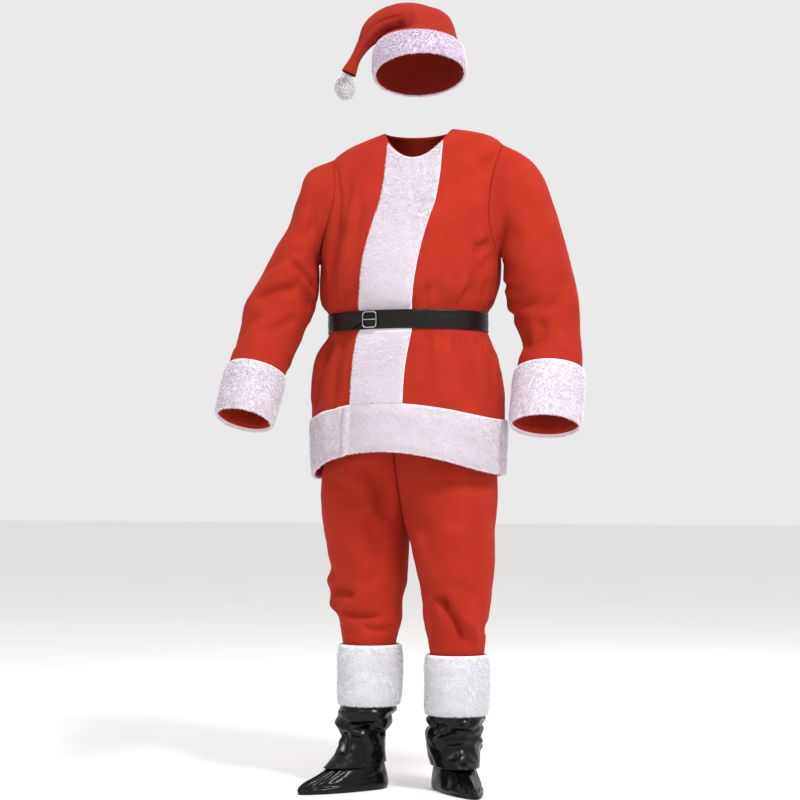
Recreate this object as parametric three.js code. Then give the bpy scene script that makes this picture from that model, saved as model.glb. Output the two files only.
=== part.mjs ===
// Santa suit as worn, nobody inside: drooping hat, belted jacket, trousers and boot covers.
// Lengths in mm.  +Z is up, the front faces -Y, the wearer's left is +X.
// Every table is written in heights above the soles; the group is lowered at the end
// so that the origin is the middle of the neck opening, where the shoulders carry the suit.

import * as THREE from 'three';

// ---------------------------------------------------------------- driving dimensions
const FLEECE = 2.2;            // wall of the brushed red cloth
const VINYL = 1.4;             // wall of the glossy black sheet
const SEAM = 0.3;              // gap where two pieces meet
const PILE = 9;                // reach of the white plush from its backing
const BELT_WALL = 2.6;
const BELT_OFF = 0.5;          // air between the belt and the jacket
const PRESSED = 2.6;           // white strip where the belt squeezes it
const NECK = [42, 15, 1480];   // middle of the neck opening above the soles
const PLACKET_HALF = 63;       // half the width of the white front strip
const BAND_HEIGHT = 128;       // white band round the hem
const BELT_AT = 1066;          // middle of the belt
const BELT_HALF = 22;
const BUCKLE = { wide: 38, tall: 40, wire: 2.2, across: -33, corner: 8, depth: 3.4, lift: 1.4 };
const PRONG = { tall: 4, depth: 2.4, corner: 1.5, lift: 1.9 };
const TAIL = { length: 80, lift: 1.2 };   // free end of the belt
const WAISTBAND = { across: 174, deep: 108, low: 1030.4, high: 1064, wall: 3 };
const POMPOM = { radii: [24, 22, 29], lean: -0.15, middle: [-129, -19, 1621] };
const LOOSE = { right: 2, left: 6 };      // slack of the boot covers over the foot
const ARMHOLE = { low: 1214, high: 1446, deep: 74 };

const RAD = Math.PI / 180;
const group = new THREE.Group();
group.name = 'santa_suit';

// ---------------------------------------------------------------- materials
const paint = (color, roughness, metalness = 0) => ({ color, roughness, metalness });
const RED = paint(0xc8372a, 0.9);
const WHITE = paint(0xefe7ec, 1);
const BLACK = paint(0x131112, 0.25);
const BELT_BLACK = paint(0x1c1817, 0.4);
const STEEL = paint(0xc9cbcf, 0.25, 1);

// ---------------------------------------------------------------- small vector helpers
const add = (p, q, s = 1) => [p[0] + q[0] * s, p[1] + q[1] * s, p[2] + q[2] * s];
const sub = (p, q) => [p[0] - q[0], p[1] - q[1], p[2] - q[2]];
const mid = (p, q) => [(p[0] + q[0]) / 2, (p[1] + q[1]) / 2, (p[2] + q[2]) / 2];
const size = (p) => Math.hypot(p[0], p[1], p[2]);
const unit = (p) => {
  const l = size(p) || 1;
  return [p[0] / l, p[1] / l, p[2] / l];
};
const cross = (p, q) => [
  p[1] * q[2] - p[2] * q[1],
  p[2] * q[0] - p[0] * q[2],
  p[0] * q[1] - p[1] * q[0],
];
const clamp = (v, a, b) => Math.min(b, Math.max(a, v));
const ease = (v) => {
  const s = clamp(v, 0, 1);
  return s * s * (3 - 2 * s);
};
const steps = (a, b, n) => Array.from({ length: n }, (_, i) => a + (b - a) * i / (n - 1));

// Smooth curve through table rows; the first column is the place, the rest are values.
function along(rows, t) {
  let k = 0;
  while (k < rows.length - 2 && t > rows[k + 1][0]) k += 1;
  const [r0, r1] = [rows[k], rows[k + 1]];
  const before = rows[Math.max(0, k - 1)];
  const after = rows[Math.min(rows.length - 1, k + 2)];
  const gap = r1[0] - r0[0];
  const s = (t - r0[0]) / gap;
  return r0.map((v, c) => {
    const m0 = (r1[c] - before[c]) / (r1[0] - before[0]) * gap;
    const m1 = (after[c] - r0[c]) / (after[0] - r0[0]) * gap;
    if (s < 0) return v + m0 * s;
    if (s > 1) return r1[c] + m1 * (s - 1);
    const s2 = s * s;
    const s3 = s2 * s;
    return (2 * s3 - 3 * s2 + 1) * v + (s3 - 2 * s2 + s) * m0
      + (3 * s2 - 2 * s3) * r1[c] + (s3 - s2) * m1;
  });
}

// ---------------------------------------------------------------- the jacket's form
// Sections of the jacket body.  Side, front and back are the heights of one ring there.
const BODY = [
  // place  side  front  back   cx   cy    a  deepF deepB  n    turn tilt
  [716, 718, 772, 708, 19, 7, 224, 180, 150, 2.1, -5, 5],
  [800, 800, 842, 794, 19, 7, 227, 178, 152, 2.1, -5, 3],
  [870, 868, 900, 866, 19, 7, 230, 174, 150, 2.1, -5, 1],
  [930, 930, 948, 930, 19, 7, 228, 166, 146, 2.1, -5, 0],
  [990, 990, 998, 990, 19, 7, 216, 154, 138, 2.1, -4, 0],
  [1044, 1044, 1046, 1046, 18, 7, 187, 143, 125, 2.15, -2, 0],
  [1066, 1066, 1068, 1068, 18, 7, 186, 143, 124, 2.15, -2, 0],
  [1088, 1088, 1090, 1090, 18, 7, 187, 143, 125, 2.15, -2, 0],
  [1112, 1112, 1113, 1114, 20, 7, 203, 155, 131, 2.15, -1, 0],
  [1160, 1160, 1156, 1160, 24, 8, 212, 161, 134, 2.2, 0, 0],
  [1240, 1240, 1226, 1240, 28, 9, 212, 156, 134, 2.2, 3, 0],
  [1310, 1310, 1284, 1310, 33, 11, 210, 143, 130, 2.25, 6, 3],
  [1370, 1376, 1330, 1372, 37, 13, 209, 121, 122, 2.3, 9, 7],
  [1415, 1432, 1364, 1418, 39, 14, 206, 103, 112, 2.3, 10, 11],
  [1446, 1465, 1390, 1450, 41, 15, 196, 92, 104, 2.25, 10, 12],
  [1466, 1488, 1410, 1474, 42, 15, 166, 84, 96, 2.2, 10, 11],
  [1482, 1502, 1427, 1492, 42, 15, 126, 76, 86, 2.1, 10, 8],
  [1500, 1514, 1444, 1512, 42, 15, 80, 68, 74, 2, 10, 3],
];
const TOP = 1500;
const HEM = 716;
const FOLD = [
  // soft drape of the cloth over the belt and in the skirt: height, reach, depth, count, phase
  [1125, 34, 3.2, 9, 0.4],
  [985, 60, 4.5, 7, 1.3],
  [1215, 60, 2.5, 5, 2.1],
];

// A point of the jacket body: angle 0 is the wearer's left, 90 the back, 270 the front.
function body(angle, place) {
  const [, side, front, back, cx, cy, a, deepF, deepB, n, turn, tilt] = along(BODY, place);
  const c = Math.cos(angle * RAD);
  const s = Math.sin(angle * RAD);
  let ripple = 0;
  for (const [at, reach, depth, count, phase] of FOLD) {
    const near = Math.exp(-(((place - at) / reach) ** 2));
    ripple += depth * near * Math.cos(count * angle * RAD + phase);
  }
  const x = Math.sign(c) * Math.abs(c) ** (2 / n) * a;
  const y = Math.sign(s) * Math.abs(s) ** (2 / n) * (s < 0 ? deepF : deepB);
  const held = ease((Math.abs(place - BELT_AT) - BELT_HALF) / 30);
  const out = 1 + ripple * held / Math.hypot(x, y);
  const [tc, ts] = [Math.cos(turn * RAD), Math.sin(turn * RAD)];
  const rise = (s < 0 ? front : back) - side;
  return [
    cx + (x * tc - y * ts) * out,
    cy + (x * ts + y * tc) * out,
    side + rise * s * s + tilt * c,
  ];
}

// Angle on the front at a distance across from the middle; minus is the wearer's right.
function frontAngle(across, place) {
  const row = along(BODY, place);
  const c = Math.sign(across) * clamp(Math.abs(across) / row[6], 0, 1) ** (row[9] / 2);
  return 360 - Math.acos(c) / RAD;
}

// Angle away from the side where the armhole opens, for the front or the back.
function holeAngle(place, deep) {
  const half = (ARMHOLE.high - ARMHOLE.low) / 2;
  const s = clamp((place - ARMHOLE.low - half) / half, -1, 1);
  const reach = ARMHOLE.deep * Math.sqrt(1 - s * s);
  const row = along(BODY, place);
  return Math.asin(clamp(reach / row[deep], 0, 1) ** (row[9] / 2)) / RAD;
}

// ---------------------------------------------------------------- sleeves, legs, boots, hat
// A form through rings: each ring is a function of the angle, joined by a smooth curve.
const through = (rings) => (angle, place) => {
  const rows = rings.map((ring, k) => [k, ...ring(angle)]);
  return along(rows, place).slice(1);
};

// Rings between an inner and an outer point, as deep as given to the front and back.
function hoops(spans, toFront) {
  const middles = spans.map(([inner, outer]) => mid(inner, outer));
  return spans.map(([inner, outer, deep], k) => {
    const way = sub(
      middles[Math.min(k + 1, spans.length - 1)],
      middles[Math.max(k - 1, 0)],
    );
    const across = add(outer, middles[k], -1);
    let ahead = unit(cross(way, across));
    if (ahead[1] * toFront > 0) ahead = ahead.map((v) => -v);
    return (angle) => {
      const c = Math.cos(angle * RAD);
      const s = Math.sin(angle * RAD);
      return add(add(middles[k], across, c), ahead, s * deep);
    };
  });
}

// The armhole as a ring: angle 0 is the shoulder tip, 180 under the arm, 90 the back on
// the right sleeve and the front on the left one.
const armhole = (right) => (angle) => {
  const half = (ARMHOLE.high - ARMHOLE.low) / 2;
  const c = Math.cos(angle * RAD);
  const s = Math.sin(angle * RAD);
  const place = ARMHOLE.low + half + half * c;
  const turn = holeAngle(place, (s > 0) === right ? 8 : 7) * Math.sign(s);
  const at = right ? 180 - turn : -turn;
  return add(body(at, place), outward(body, at, place), 0.5);
};

// Direction square to a form, pointing out of the cloth.
function outward(form, angle, place, stretch = 1) {
  const e = 0.02;
  const dj = sub(form(angle + 20 * e, place), form(angle - 20 * e, place));
  const di = sub(form(angle, place + e * stretch), form(angle, place - e * stretch));
  return unit(cross(dj, di));
}

const SPAN_RIGHT = [
  // inner point            outer point            half depth
  [[-190, -24, 1208], [-216, -30, 1426], 70],
  [[-190, -28, 1200], [-238, -38, 1372], 74],
  [[-187, -34, 1188], [-258, -46, 1300], 80],
  [[-184, -44, 1166], [-288, -58, 1238], 82],
  [[-183, -56, 1134], [-316, -74, 1172], 80],
  [[-198, -76, 1080], [-347, -92, 1106], 76],
  [[-208, -104, 1030], [-348, -114, 1050], 70],
  [[-214, -130, 988], [-350, -138, 1004], 66],
  [[-226, -150, 952], [-356, -158, 968], 63],
  [[-238, -202, 838], [-362, -210, 850], 62],
];
const SPAN_LEFT = [
  [[244, 28, 1212], [284, 42, 1450], 70],
  [[242, 24, 1204], [326, 42, 1408], 75],
  [[242, 24, 1190], [357, 42, 1330], 80],
  [[242, 26, 1166], [378, 44, 1260], 82],
  [[241, 32, 1136], [396, 48, 1190], 80],
  [[248, 44, 1092], [409, 54, 1120], 76],
  [[270, 48, 1046], [413, 54, 1062], 70],
  [[286, 40, 1004], [418, 44, 1016], 65],
  [[276, 26, 958], [424, 28, 966], 64],
  [[278, -26, 826], [430, -26, 832], 66],
];
const sleeveRight = through([armhole(true), ...hoops(SPAN_RIGHT, -1)]);
const sleeveLeft = through([armhole(false), ...hoops(SPAN_LEFT, 1)]);

// Trouser legs: above the fork the inner side stops at the middle of the body.
const FORK = 600;
const LEGS = {
  right: [
    // height  middle x, y   half width  front  back
    [262, -74, 1, 54, 54, 54],
    [332, -75, 1, 61, 61, 61],
    [391, -73, 2, 74, 70, 70],
    [436, -75, 2, 77, 74, 74],
    [481, -71, 6, 83, 82, 80],
    [527, -79, 8, 92, 90, 88],
    [600, -81, 9, 99, 102, 100],
    [680, -72, 8, 112, 112, 112],
    [760, -56, 7, 128, 122, 122],
    [860, -34, 7, 146, 124, 122],
    [960, -10, 7, 158, 118, 114],
    [1030, 4, 7, 160, 112, 106],
  ],
  left: [
    [244, 134, 6, 54, 54, 54],
    [312, 138, 0, 61, 61, 61],
    [391, 138, -10, 74, 70, 70],
    [436, 140, -12, 78, 74, 74],
    [481, 137, -12, 83, 82, 80],
    [527, 132, -10, 91, 90, 88],
    [600, 120, -2, 99, 102, 100],
    [680, 111, 4, 112, 112, 112],
    [760, 95, 7, 128, 122, 122],
    [860, 72, 7, 146, 124, 122],
    [960, 48, 7, 158, 118, 114],
    [1030, 34, 7, 160, 112, 106],
  ],
};
const MIDDLE = 19;
const legForm = (rows) => (angle, height) => {
  const [, x, y, a, front, back] = along(rows, height);
  const s = Math.sin(angle * RAD);
  return [x + a * Math.cos(angle * RAD), y + (s < 0 ? front : back) * s, height];
};
// Angle from the outer side to where a leg section crosses the middle of the body.
function forkAngle(rows, height) {
  const [, x, , a] = along(rows, height);
  const c = clamp(Math.abs(x - MIDDLE) / a, 0, 1);
  return height < FORK ? 180 : 180 - Math.acos(c) / RAD;
}

// Boot covers: a foot whose rings run from the sole to the ankle, and a shaft whose lower
// edge lies over it.
const SHAFT = {
  right: [
    // height  middle x, y  half depth  half width
    [122, -88, -8, 53, 50],
    [146, -85, -4, 60, 60],
    [170, -80, -1, 66, 66],
    [196, -76, 0, 65, 65],
    [262, -74, 1, 66, 66],
    [328, -74, 1, 66, 66],
  ],
  left: [
    [122, 118, 30, 62, 62],
    [146, 124, 25, 68, 67],
    [162, 128, 20, 68, 67],
    [180, 132, 14, 66, 66],
    [244, 137, 6, 66, 66],
    [310, 138, 1, 66, 66],
  ],
};
const FEET = {
  // ankle x, y, way the toe points, measured from straight ahead to the wearer's left
  right: [-86, -14, -32],
  left: [114, 44, 35],
};
const FOOT = [
  // ring  height at toe, at heel  toe reach  heel reach  half width  squareness
  [0, 3, 3, 178, 60, 46, 2.1],
  [1, 13, 14, 180, 62, 49, 2.1],
  [2, 27, 34, 160, 60, 48, 2],
  [3, 44, 58, 118, 54, 45, 2],
  [4, 70, 82, 74, 47, 41, 2],
  [5, 100, 104, 44, 42, 37, 2],
];
const footForm = ([ax, ay, way]) => (angle, ring) => {
  const [, toeZ, heelZ, toe, heel, half, n] = along(FOOT, ring);
  const c = Math.cos(angle * RAD);
  const s = Math.sin(angle * RAD);
  const point = c > 0 ? 1 - 0.3 * c ** 3 * clamp(toe / 180, 0, 1) : 1;
  const ahead = (c > 0 ? toe : heel) * Math.sign(c) * Math.abs(c) ** (2 / n);
  const across = half * Math.sign(s) * Math.abs(s) ** (2 / n) * point;
  const [wc, ws] = [Math.cos(way * RAD), Math.sin(way * RAD)];
  return [
    ax + ws * ahead + wc * across,
    ay - wc * ahead + ws * across,
    heelZ + (toeZ - heelZ) * (c + 1) / 2,
  ];
};

// The shaft: three rings lying looser and looser on the foot, then free ones up to the top.
function shaftForm(rows, [, , way], foot, loose) {
  const [wc, ws] = [Math.cos(way * RAD), Math.sin(way * RAD)];
  const lying = [3.3, 4, 4.7].map((ring, k) => (angle) => (
    add(foot(angle, ring), outward(foot, angle, ring), VINYL + 2 + loose * (k + 1))
  ));
  const free = rows.map(([z, x, y, deep, wide]) => (angle) => {
    const ahead = deep * Math.cos(angle * RAD);
    const across = wide * Math.sin(angle * RAD);
    return [x + ws * ahead + wc * across, y - wc * ahead + ws * across, z];
  });
  return through([...lying, ...free]);
}

// Hat: rings along a path that rises, folds over to the wearer's right and hangs down.
const TOWARD = [Math.sin(20 * RAD), -Math.cos(20 * RAD), 0];
const HAT = [
  // middle                radius in the fold plane, across it
  [[43, 16, 1648], 103, 106],
  [[35, 31, 1694], 100, 103],
  [[36, 40, 1726], 90, 92],
  [[36, 42, 1754], 72, 76],
  [[8, 34, 1776], 44, 62],
  [[-36, 20, 1774], 36, 50],
  [[-70, 6, 1752], 28, 40],
  [[-91, -4, 1718], 15, 28],
  [[-108, -12, 1684], 13, 20],
  [[-121, -17, 1654], 18, 19],
];
const HAT_START = unit([-0.13, 0.26, 0.96]);
function hatRing(k) {
  const [middle, inFold, acrossFold] = HAT[k];
  const before = HAT[Math.max(0, k - 1)][0];
  const after = HAT[Math.min(HAT.length - 1, k + 1)][0];
  const way = k < 2 ? HAT_START : unit(sub(after, before));
  const side = unit(cross(way, TOWARD));
  const ahead = cross(side, way);
  return (angle) => {
    const c = Math.cos(angle * RAD);
    const s = Math.sin(angle * RAD);
    return add(add(middle, side, c * inFold), ahead, -s * acrossFold);
  };
}
const hat = through(HAT.map((_, k) => hatRing(k)));

// ---------------------------------------------------------------- making solids
// One closed body from an outer and an inner grid of points of the same shape.
function solid(name, look, outer, inner, around) {
  const rows = outer.length;
  const cols = outer[0].length;
  const points = [...outer.flat(), ...inner.flat()];
  const at = (skin, i, j) => skin * rows * cols + i * cols + (j % cols);
  const faces = [];
  const quad = (a, b, c, d) => faces.push([a, b, c], [a, c, d]);
  const last = around ? cols : cols - 1;
  for (let i = 0; i < rows - 1; i += 1) {
    for (let j = 0; j < last; j += 1) {
      quad(at(0, i, j), at(0, i, j + 1), at(0, i + 1, j + 1), at(0, i + 1, j));
      quad(at(1, i, j), at(1, i + 1, j), at(1, i + 1, j + 1), at(1, i, j + 1));
    }
  }
  for (let j = 0; j < last; j += 1) {
    quad(at(0, 0, j), at(1, 0, j), at(1, 0, j + 1), at(0, 0, j + 1));
    quad(at(0, rows - 1, j + 1), at(1, rows - 1, j + 1), at(1, rows - 1, j), at(0, rows - 1, j));
  }
  for (let i = 0; i < rows - 1 && !around; i += 1) {
    quad(at(0, i, 0), at(0, i + 1, 0), at(1, i + 1, 0), at(1, i, 0));
    quad(at(0, i, last), at(1, i, last), at(1, i + 1, last), at(0, i + 1, last));
  }
  mesh(name, look, points, faces);
}

// A mesh of its own material; turned right way out if its volume comes out negative.
function mesh(name, look, points, faces) {
  let volume = 0;
  for (const [a, b, c] of faces) {
    const [p, q, r] = [points[a], points[b], points[c]];
    const n = cross(q, r);
    volume += p[0] * n[0] + p[1] * n[1] + p[2] * n[2];
  }
  const order = volume < 0 ? faces.map(([a, b, c]) => [a, c, b]) : faces;
  const geometry = new THREE.BufferGeometry();
  geometry.setAttribute('position', new THREE.Float32BufferAttribute(points.flat(), 3));
  geometry.setIndex(order.flat());
  geometry.computeVertexNormals();
  const piece = new THREE.Mesh(geometry, new THREE.MeshStandardMaterial(look));
  piece.name = name;
  group.add(piece);
}

// A layer of cloth on a form between two distances off it; both may vary over the piece.
function layer(name, look, form, cells, low, high, around = false) {
  const columns = cells[0].length - (around ? 0 : 1);
  const reach = (d, i, j, angle, place) => (typeof d === 'function'
    ? d(i / (cells.length - 1), around ? 0.5 : j / columns, angle, place)
    : d);
  const skin = (d) => cells.map((row, i) => row.map(([angle, place], j) => add(
    form(angle, place),
    outward(form, angle, place),
    reach(d, i, j, angle, place),
  )));
  solid(name, look, skin(high), skin(low), around);
}

const tube = (places, columns) => places.map((place) => (
  Array.from({ length: columns }, (_, j) => [j / columns * 360, place])
));
// Plush is fullest in the middle of a strip and thins at its edges.
const plush = (thick) => (u, v) => {
  const edge = Math.min(u, 1 - u, v, 1 - v);
  return thick * (0.62 + 0.38 * ease(edge * 4)) + SEAM;
};

// ---------------------------------------------------------------- jacket
const BAND_TOP = HEM + BAND_HEIGHT;
const BAND_ROWS = steps(HEM, BAND_TOP, 3);
const WAIST_ROWS = [900, 965, 1018, BELT_AT - BELT_HALF, BELT_AT, BELT_AT + BELT_HALF, 1112];
const HOLE_ROWS = steps(0, 180, 7).map((w) => (ARMHOLE.low + ARMHOLE.high) / 2
  - (ARMHOLE.high - ARMHOLE.low) / 2 * Math.cos(w * RAD));
const STRIP_ROWS = [BAND_TOP + 2, ...WAIST_ROWS, 1160, ...HOLE_ROWS, 1472, TOP];
const BODY_ROWS = [...BAND_ROWS, ...STRIP_ROWS];
const gapAngle = (place) => SEAM / 2 / along(BODY, place)[6] / RAD;
// Places across the white strip; the buckle sits between the second and the third.
const STRIP_PLACES = [-PLACKET_HALF, -54, -12, 20, 42, PLACKET_HALF];

// The columns of each panel, as angles: side seams, armholes and the opening line.
function rightColumns(place) {
  const from = 180 + holeAngle(place, 7) + 1.2 * gapAngle(place);
  return steps(from, frontAngle(STRIP_PLACES[0] - SEAM, place), 6);
}
function leftColumns(place) {
  const to = 360 - holeAngle(place, 7) - 1.2 * gapAngle(place);
  const strip = STRIP_PLACES.map((across) => frontAngle(across, place));
  return [...strip, ...steps(strip[5], to, 4).slice(1)];
}
function backColumns(place) {
  const from = holeAngle(place, 8) + 1.2 * gapAngle(place);
  return steps(from, 180 - from, 10);
}
const cells = (places, columns) => places.map((place) => (
  columns(place).map((angle) => [angle, place])
));
for (const [name, columns] of [
  ['front_right', rightColumns],
  ['front_left', leftColumns],
  ['back', backColumns],
]) {
  layer(`jacket_${name}`, RED, body, cells(BODY_ROWS, columns), -FLEECE, 0);
  layer(`hem_band_${name}`, WHITE, body, cells(BAND_ROWS, columns), SEAM, plush(PILE));
}

// White strip down the front, pressed flat where the belt crosses it.
const pressed = (place) => ease((Math.abs(place - BELT_AT) - BELT_HALF - 3) / 30);
const stripReach = (u, v, angle, place) => (
  PRESSED + (plush(PILE)(u, v) - PRESSED) * pressed(place)
);
const stripColumns = (place) => leftColumns(place).slice(0, 6);
layer('front_strip', WHITE, body, cells(STRIP_ROWS, stripColumns), SEAM, stripReach);

const SLEEVE_ROWS = [0, 0.5, 1, 1.8, 2.7, 3.7, 4.8, 5.6, 6.5, 7.8];
const CUFF_ROWS = [9.08, 9.4, 9.75];
for (const [side, sleeve] of [['right', sleeveRight], ['left', sleeveLeft]]) {
  const rows = [...SLEEVE_ROWS, ...CUFF_ROWS];
  layer(`sleeve_${side}`, RED, sleeve, tube([...rows, 9.95], 12), -FLEECE, 0, true);
  layer(`cuff_${side}`, WHITE, sleeve, tube([...CUFF_ROWS, 10], 12), SEAM, plush(PILE), true);
}

// ---------------------------------------------------------------- belt
// How far the belt stands off the jacket: further where it crosses the white strip.
function beltLow(u, v, angle, place) {
  const row = along(BODY, place);
  const c = Math.abs(Math.cos(angle * RAD));
  const across = row[6] * c ** (2 / row[9]);
  const over = Math.sin(angle * RAD) < 0 ? ease((PLACKET_HALF + 24 - across) / 18) : 0;
  return BELT_OFF + PRESSED * over;
}
const beltHigh = (...where) => beltLow(...where) + BELT_WALL;
const BELT_ROWS = [BELT_AT - BELT_HALF, BELT_AT, BELT_AT + BELT_HALF];
const beltColumns = (place) => [
  ...backColumns(place).slice(0, -1),
  ...rightColumns(place).slice(0, -1),
  ...leftColumns(place).slice(0, -1),
];
layer('belt', BELT_BLACK, body, cells(BELT_ROWS, beltColumns), beltLow, beltHigh, true);

// The free end of the belt lies on it, past the buckle.
const tailOff = BELT_OFF + PRESSED + BELT_WALL + TAIL.lift;
const besideBuckle = BUCKLE.across - BUCKLE.wide / 2;
const tailPlaces = steps(besideBuckle - TAIL.length, besideBuckle - 2.5, 6);
const tailColumns = (place) => tailPlaces.map((across) => frontAngle(across, place));
const tailRows = [BELT_AT - BELT_HALF + 3, BELT_AT + BELT_HALF - 3];
layer('belt_tail', BELT_BLACK, body, cells(tailRows, tailColumns), tailOff, tailOff + BELT_WALL);

// A rounded rectangle as a closed outline.
function rounded(path, wide, tall, corner) {
  const [x, y] = [wide / 2, tall / 2];
  path.moveTo(x - corner, -y);
  path.absarc(x - corner, -y + corner, corner, -Math.PI / 2, 0);
  path.absarc(x - corner, y - corner, corner, 0, Math.PI / 2);
  path.absarc(-x + corner, y - corner, corner, Math.PI / 2, Math.PI);
  path.absarc(-x + corner, -y + corner, corner, Math.PI, 1.5 * Math.PI);
  path.closePath();
  return path;
}

// Buckle pieces are flat extrusions set on the belt, square to it.
function onBelt(name, geometry, lift) {
  const angle = frontAngle(BUCKLE.across, BELT_AT);
  const out = outward(body, angle, BELT_AT);
  const spot = add(body(angle, BELT_AT), out, beltHigh(0, 0, angle, BELT_AT) + lift);
  const normal = new THREE.Vector3(out[0], out[1], 0).normalize();
  const up = new THREE.Vector3(0, 0, 1);
  const side = new THREE.Vector3().crossVectors(up, normal);
  const piece = new THREE.Mesh(geometry, new THREE.MeshStandardMaterial(STEEL));
  piece.name = name;
  piece.quaternion.setFromRotationMatrix(new THREE.Matrix4().makeBasis(side, up, normal));
  piece.position.set(...spot);
  group.add(piece);
}
const bar = 2 * BUCKLE.wire;
const inside = [BUCKLE.wide - 2 * bar, BUCKLE.tall - 2 * bar];
const frame = rounded(new THREE.Shape(), BUCKLE.wide, BUCKLE.tall, BUCKLE.corner);
frame.holes.push(rounded(new THREE.Path(), ...inside, BUCKLE.corner - 3));
const flat = (depth) => ({ depth, bevelEnabled: false, curveSegments: 4 });
onBelt('buckle_frame', new THREE.ExtrudeGeometry(frame, flat(BUCKLE.depth)), BUCKLE.lift);
const prong = rounded(new THREE.Shape(), inside[0] - 2 * SEAM, PRONG.tall, PRONG.corner);
onBelt('buckle_prong', new THREE.ExtrudeGeometry(prong, flat(PRONG.depth)), PRONG.lift);

// ---------------------------------------------------------------- trousers
const legRight = legForm(LEGS.right);
const legLeft = legForm(LEGS.left);
const LEG_ROWS = [375, 430, 480, 535, FORK, 612, 645, 700, 780, 900, 1030];
const legGap = 0.14;           // degrees from a seam to the cloth
const legCells = (rows, angleAt) => [rows[0][0], rows[1][0], ...LEG_ROWS].map((h) => (
  steps(0, 1, 6).map((s) => [angleAt(h, s), h])
));
layer('trousers_right_front', RED, legRight, legCells(LEGS.right, (h, s) => (
  180 + legGap + (forkAngle(LEGS.right, h) - 2 * legGap) * s
)), -FLEECE, 0);
layer('trousers_right_back', RED, legRight, legCells(LEGS.right, (h, s) => (
  180 - forkAngle(LEGS.right, h) + legGap + (forkAngle(LEGS.right, h) - 2 * legGap) * s
)), -FLEECE, 0);
layer('trousers_left_front', RED, legLeft, legCells(LEGS.left, (h, s) => (
  360 - forkAngle(LEGS.left, h) + legGap + (forkAngle(LEGS.left, h) - 2 * legGap) * s
)), -FLEECE, 0);
layer('trousers_left_back', RED, legLeft, legCells(LEGS.left, (h, s) => (
  legGap + (forkAngle(LEGS.left, h) - 2 * legGap) * s
)), -FLEECE, 0);
const waist = (angle, height) => [
  MIDDLE + WAISTBAND.across * Math.cos(angle * RAD),
  7 + WAISTBAND.deep * Math.sin(angle * RAD),
  height,
];
layer('waistband', RED, waist, tube([WAISTBAND.low, WAISTBAND.high], 20),
  -WAISTBAND.wall, 0, true);

// ---------------------------------------------------------------- boot covers
const SHAFT_ROWS = [0, 0.8, 1.8, 3, 4, 5, 6];
const FUR_ROWS = [6, 6.67, 7.33];
for (const side of ['right', 'left']) {
  const foot = footForm(FEET[side]);
  const shaft = shaftForm(SHAFT[side], FEET[side], foot, LOOSE[side]);
  layer(`boot_foot_${side}`, BLACK, foot, tube([0, 0.6, 1.4, 2.4, 3.6, 5], 14), -VINYL, 0, true);
  layer(`boot_shaft_${side}`, BLACK, shaft, tube([...SHAFT_ROWS, 6.67, 7.33, 7.95], 14),
    -VINYL, 0, true);
  layer(`boot_fur_${side}`, WHITE, shaft, tube([...FUR_ROWS, 8.05], 14),
    SEAM, plush(PILE + 2), true);
}

// ---------------------------------------------------------------- hat
const HAT_BAND_ROWS = [0, 0.5, 1, 1.5];
const HAT_ROWS = [2, 2.5, 3, 3.5, 4, 4.7, 5.4, 6.2, 7.4, 9];
layer('hat_crown', RED, hat, tube([...HAT_BAND_ROWS, ...HAT_ROWS], 16), -FLEECE, 0, true);
layer('hat_band', WHITE, hat, tube(HAT_BAND_ROWS, 16), SEAM, plush(PILE), true);
const pompom = new THREE.SphereGeometry(1, 14, 10);
pompom.scale(...POMPOM.radii);
pompom.rotateY(POMPOM.lean);
pompom.translate(...POMPOM.middle);
const ball = new THREE.Mesh(pompom, new THREE.MeshStandardMaterial(WHITE));
ball.name = 'pompom';
group.add(ball);

group.position.set(-NECK[0], -NECK[1], -NECK[2]);

export default group;
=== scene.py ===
# %% [markdown]
# # A santa suit, worn, with nobody inside
# The suit is a set: hat, jacket, belt, trousers and boot covers. Red parts are brushed fleece,
# white trims are short plush, the boot covers are thin glossy vinyl and the belt is imitation
# leather with a wire buckle. Each cloth piece is a surface worked out from a short table of
# sections, so that its folds can be written down one by one, in millimetres.

# %% Load the frame
import math

import bpy
import numpy as np
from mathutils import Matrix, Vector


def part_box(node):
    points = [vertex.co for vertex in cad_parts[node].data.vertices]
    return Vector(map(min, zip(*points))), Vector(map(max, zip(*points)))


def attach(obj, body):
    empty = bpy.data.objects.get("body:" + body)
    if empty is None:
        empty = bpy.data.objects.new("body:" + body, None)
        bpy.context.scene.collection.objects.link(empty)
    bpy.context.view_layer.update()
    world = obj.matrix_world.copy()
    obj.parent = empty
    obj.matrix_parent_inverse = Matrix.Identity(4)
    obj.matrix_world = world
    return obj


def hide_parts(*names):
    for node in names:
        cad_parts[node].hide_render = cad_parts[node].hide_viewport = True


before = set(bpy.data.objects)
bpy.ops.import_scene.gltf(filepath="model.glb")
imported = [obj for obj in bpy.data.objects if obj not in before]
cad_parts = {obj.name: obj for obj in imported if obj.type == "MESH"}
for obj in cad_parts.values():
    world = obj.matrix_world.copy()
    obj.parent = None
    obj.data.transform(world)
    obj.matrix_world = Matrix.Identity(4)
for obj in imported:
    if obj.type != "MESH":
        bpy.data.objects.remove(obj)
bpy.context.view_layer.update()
MM = 0.001
NECK = np.array([42.0, 15.0, 1480.0])   # the origin of the frame above the soles, mm

# %% [markdown]
# ## Curves through tables
# A garment's form changes slowly from hem to neck. A table with a row for each section, and a
# smooth cubic through every column, is the shortest honest way to write that down. Numpy
# evaluates the cubic for a whole grid at once.

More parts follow.
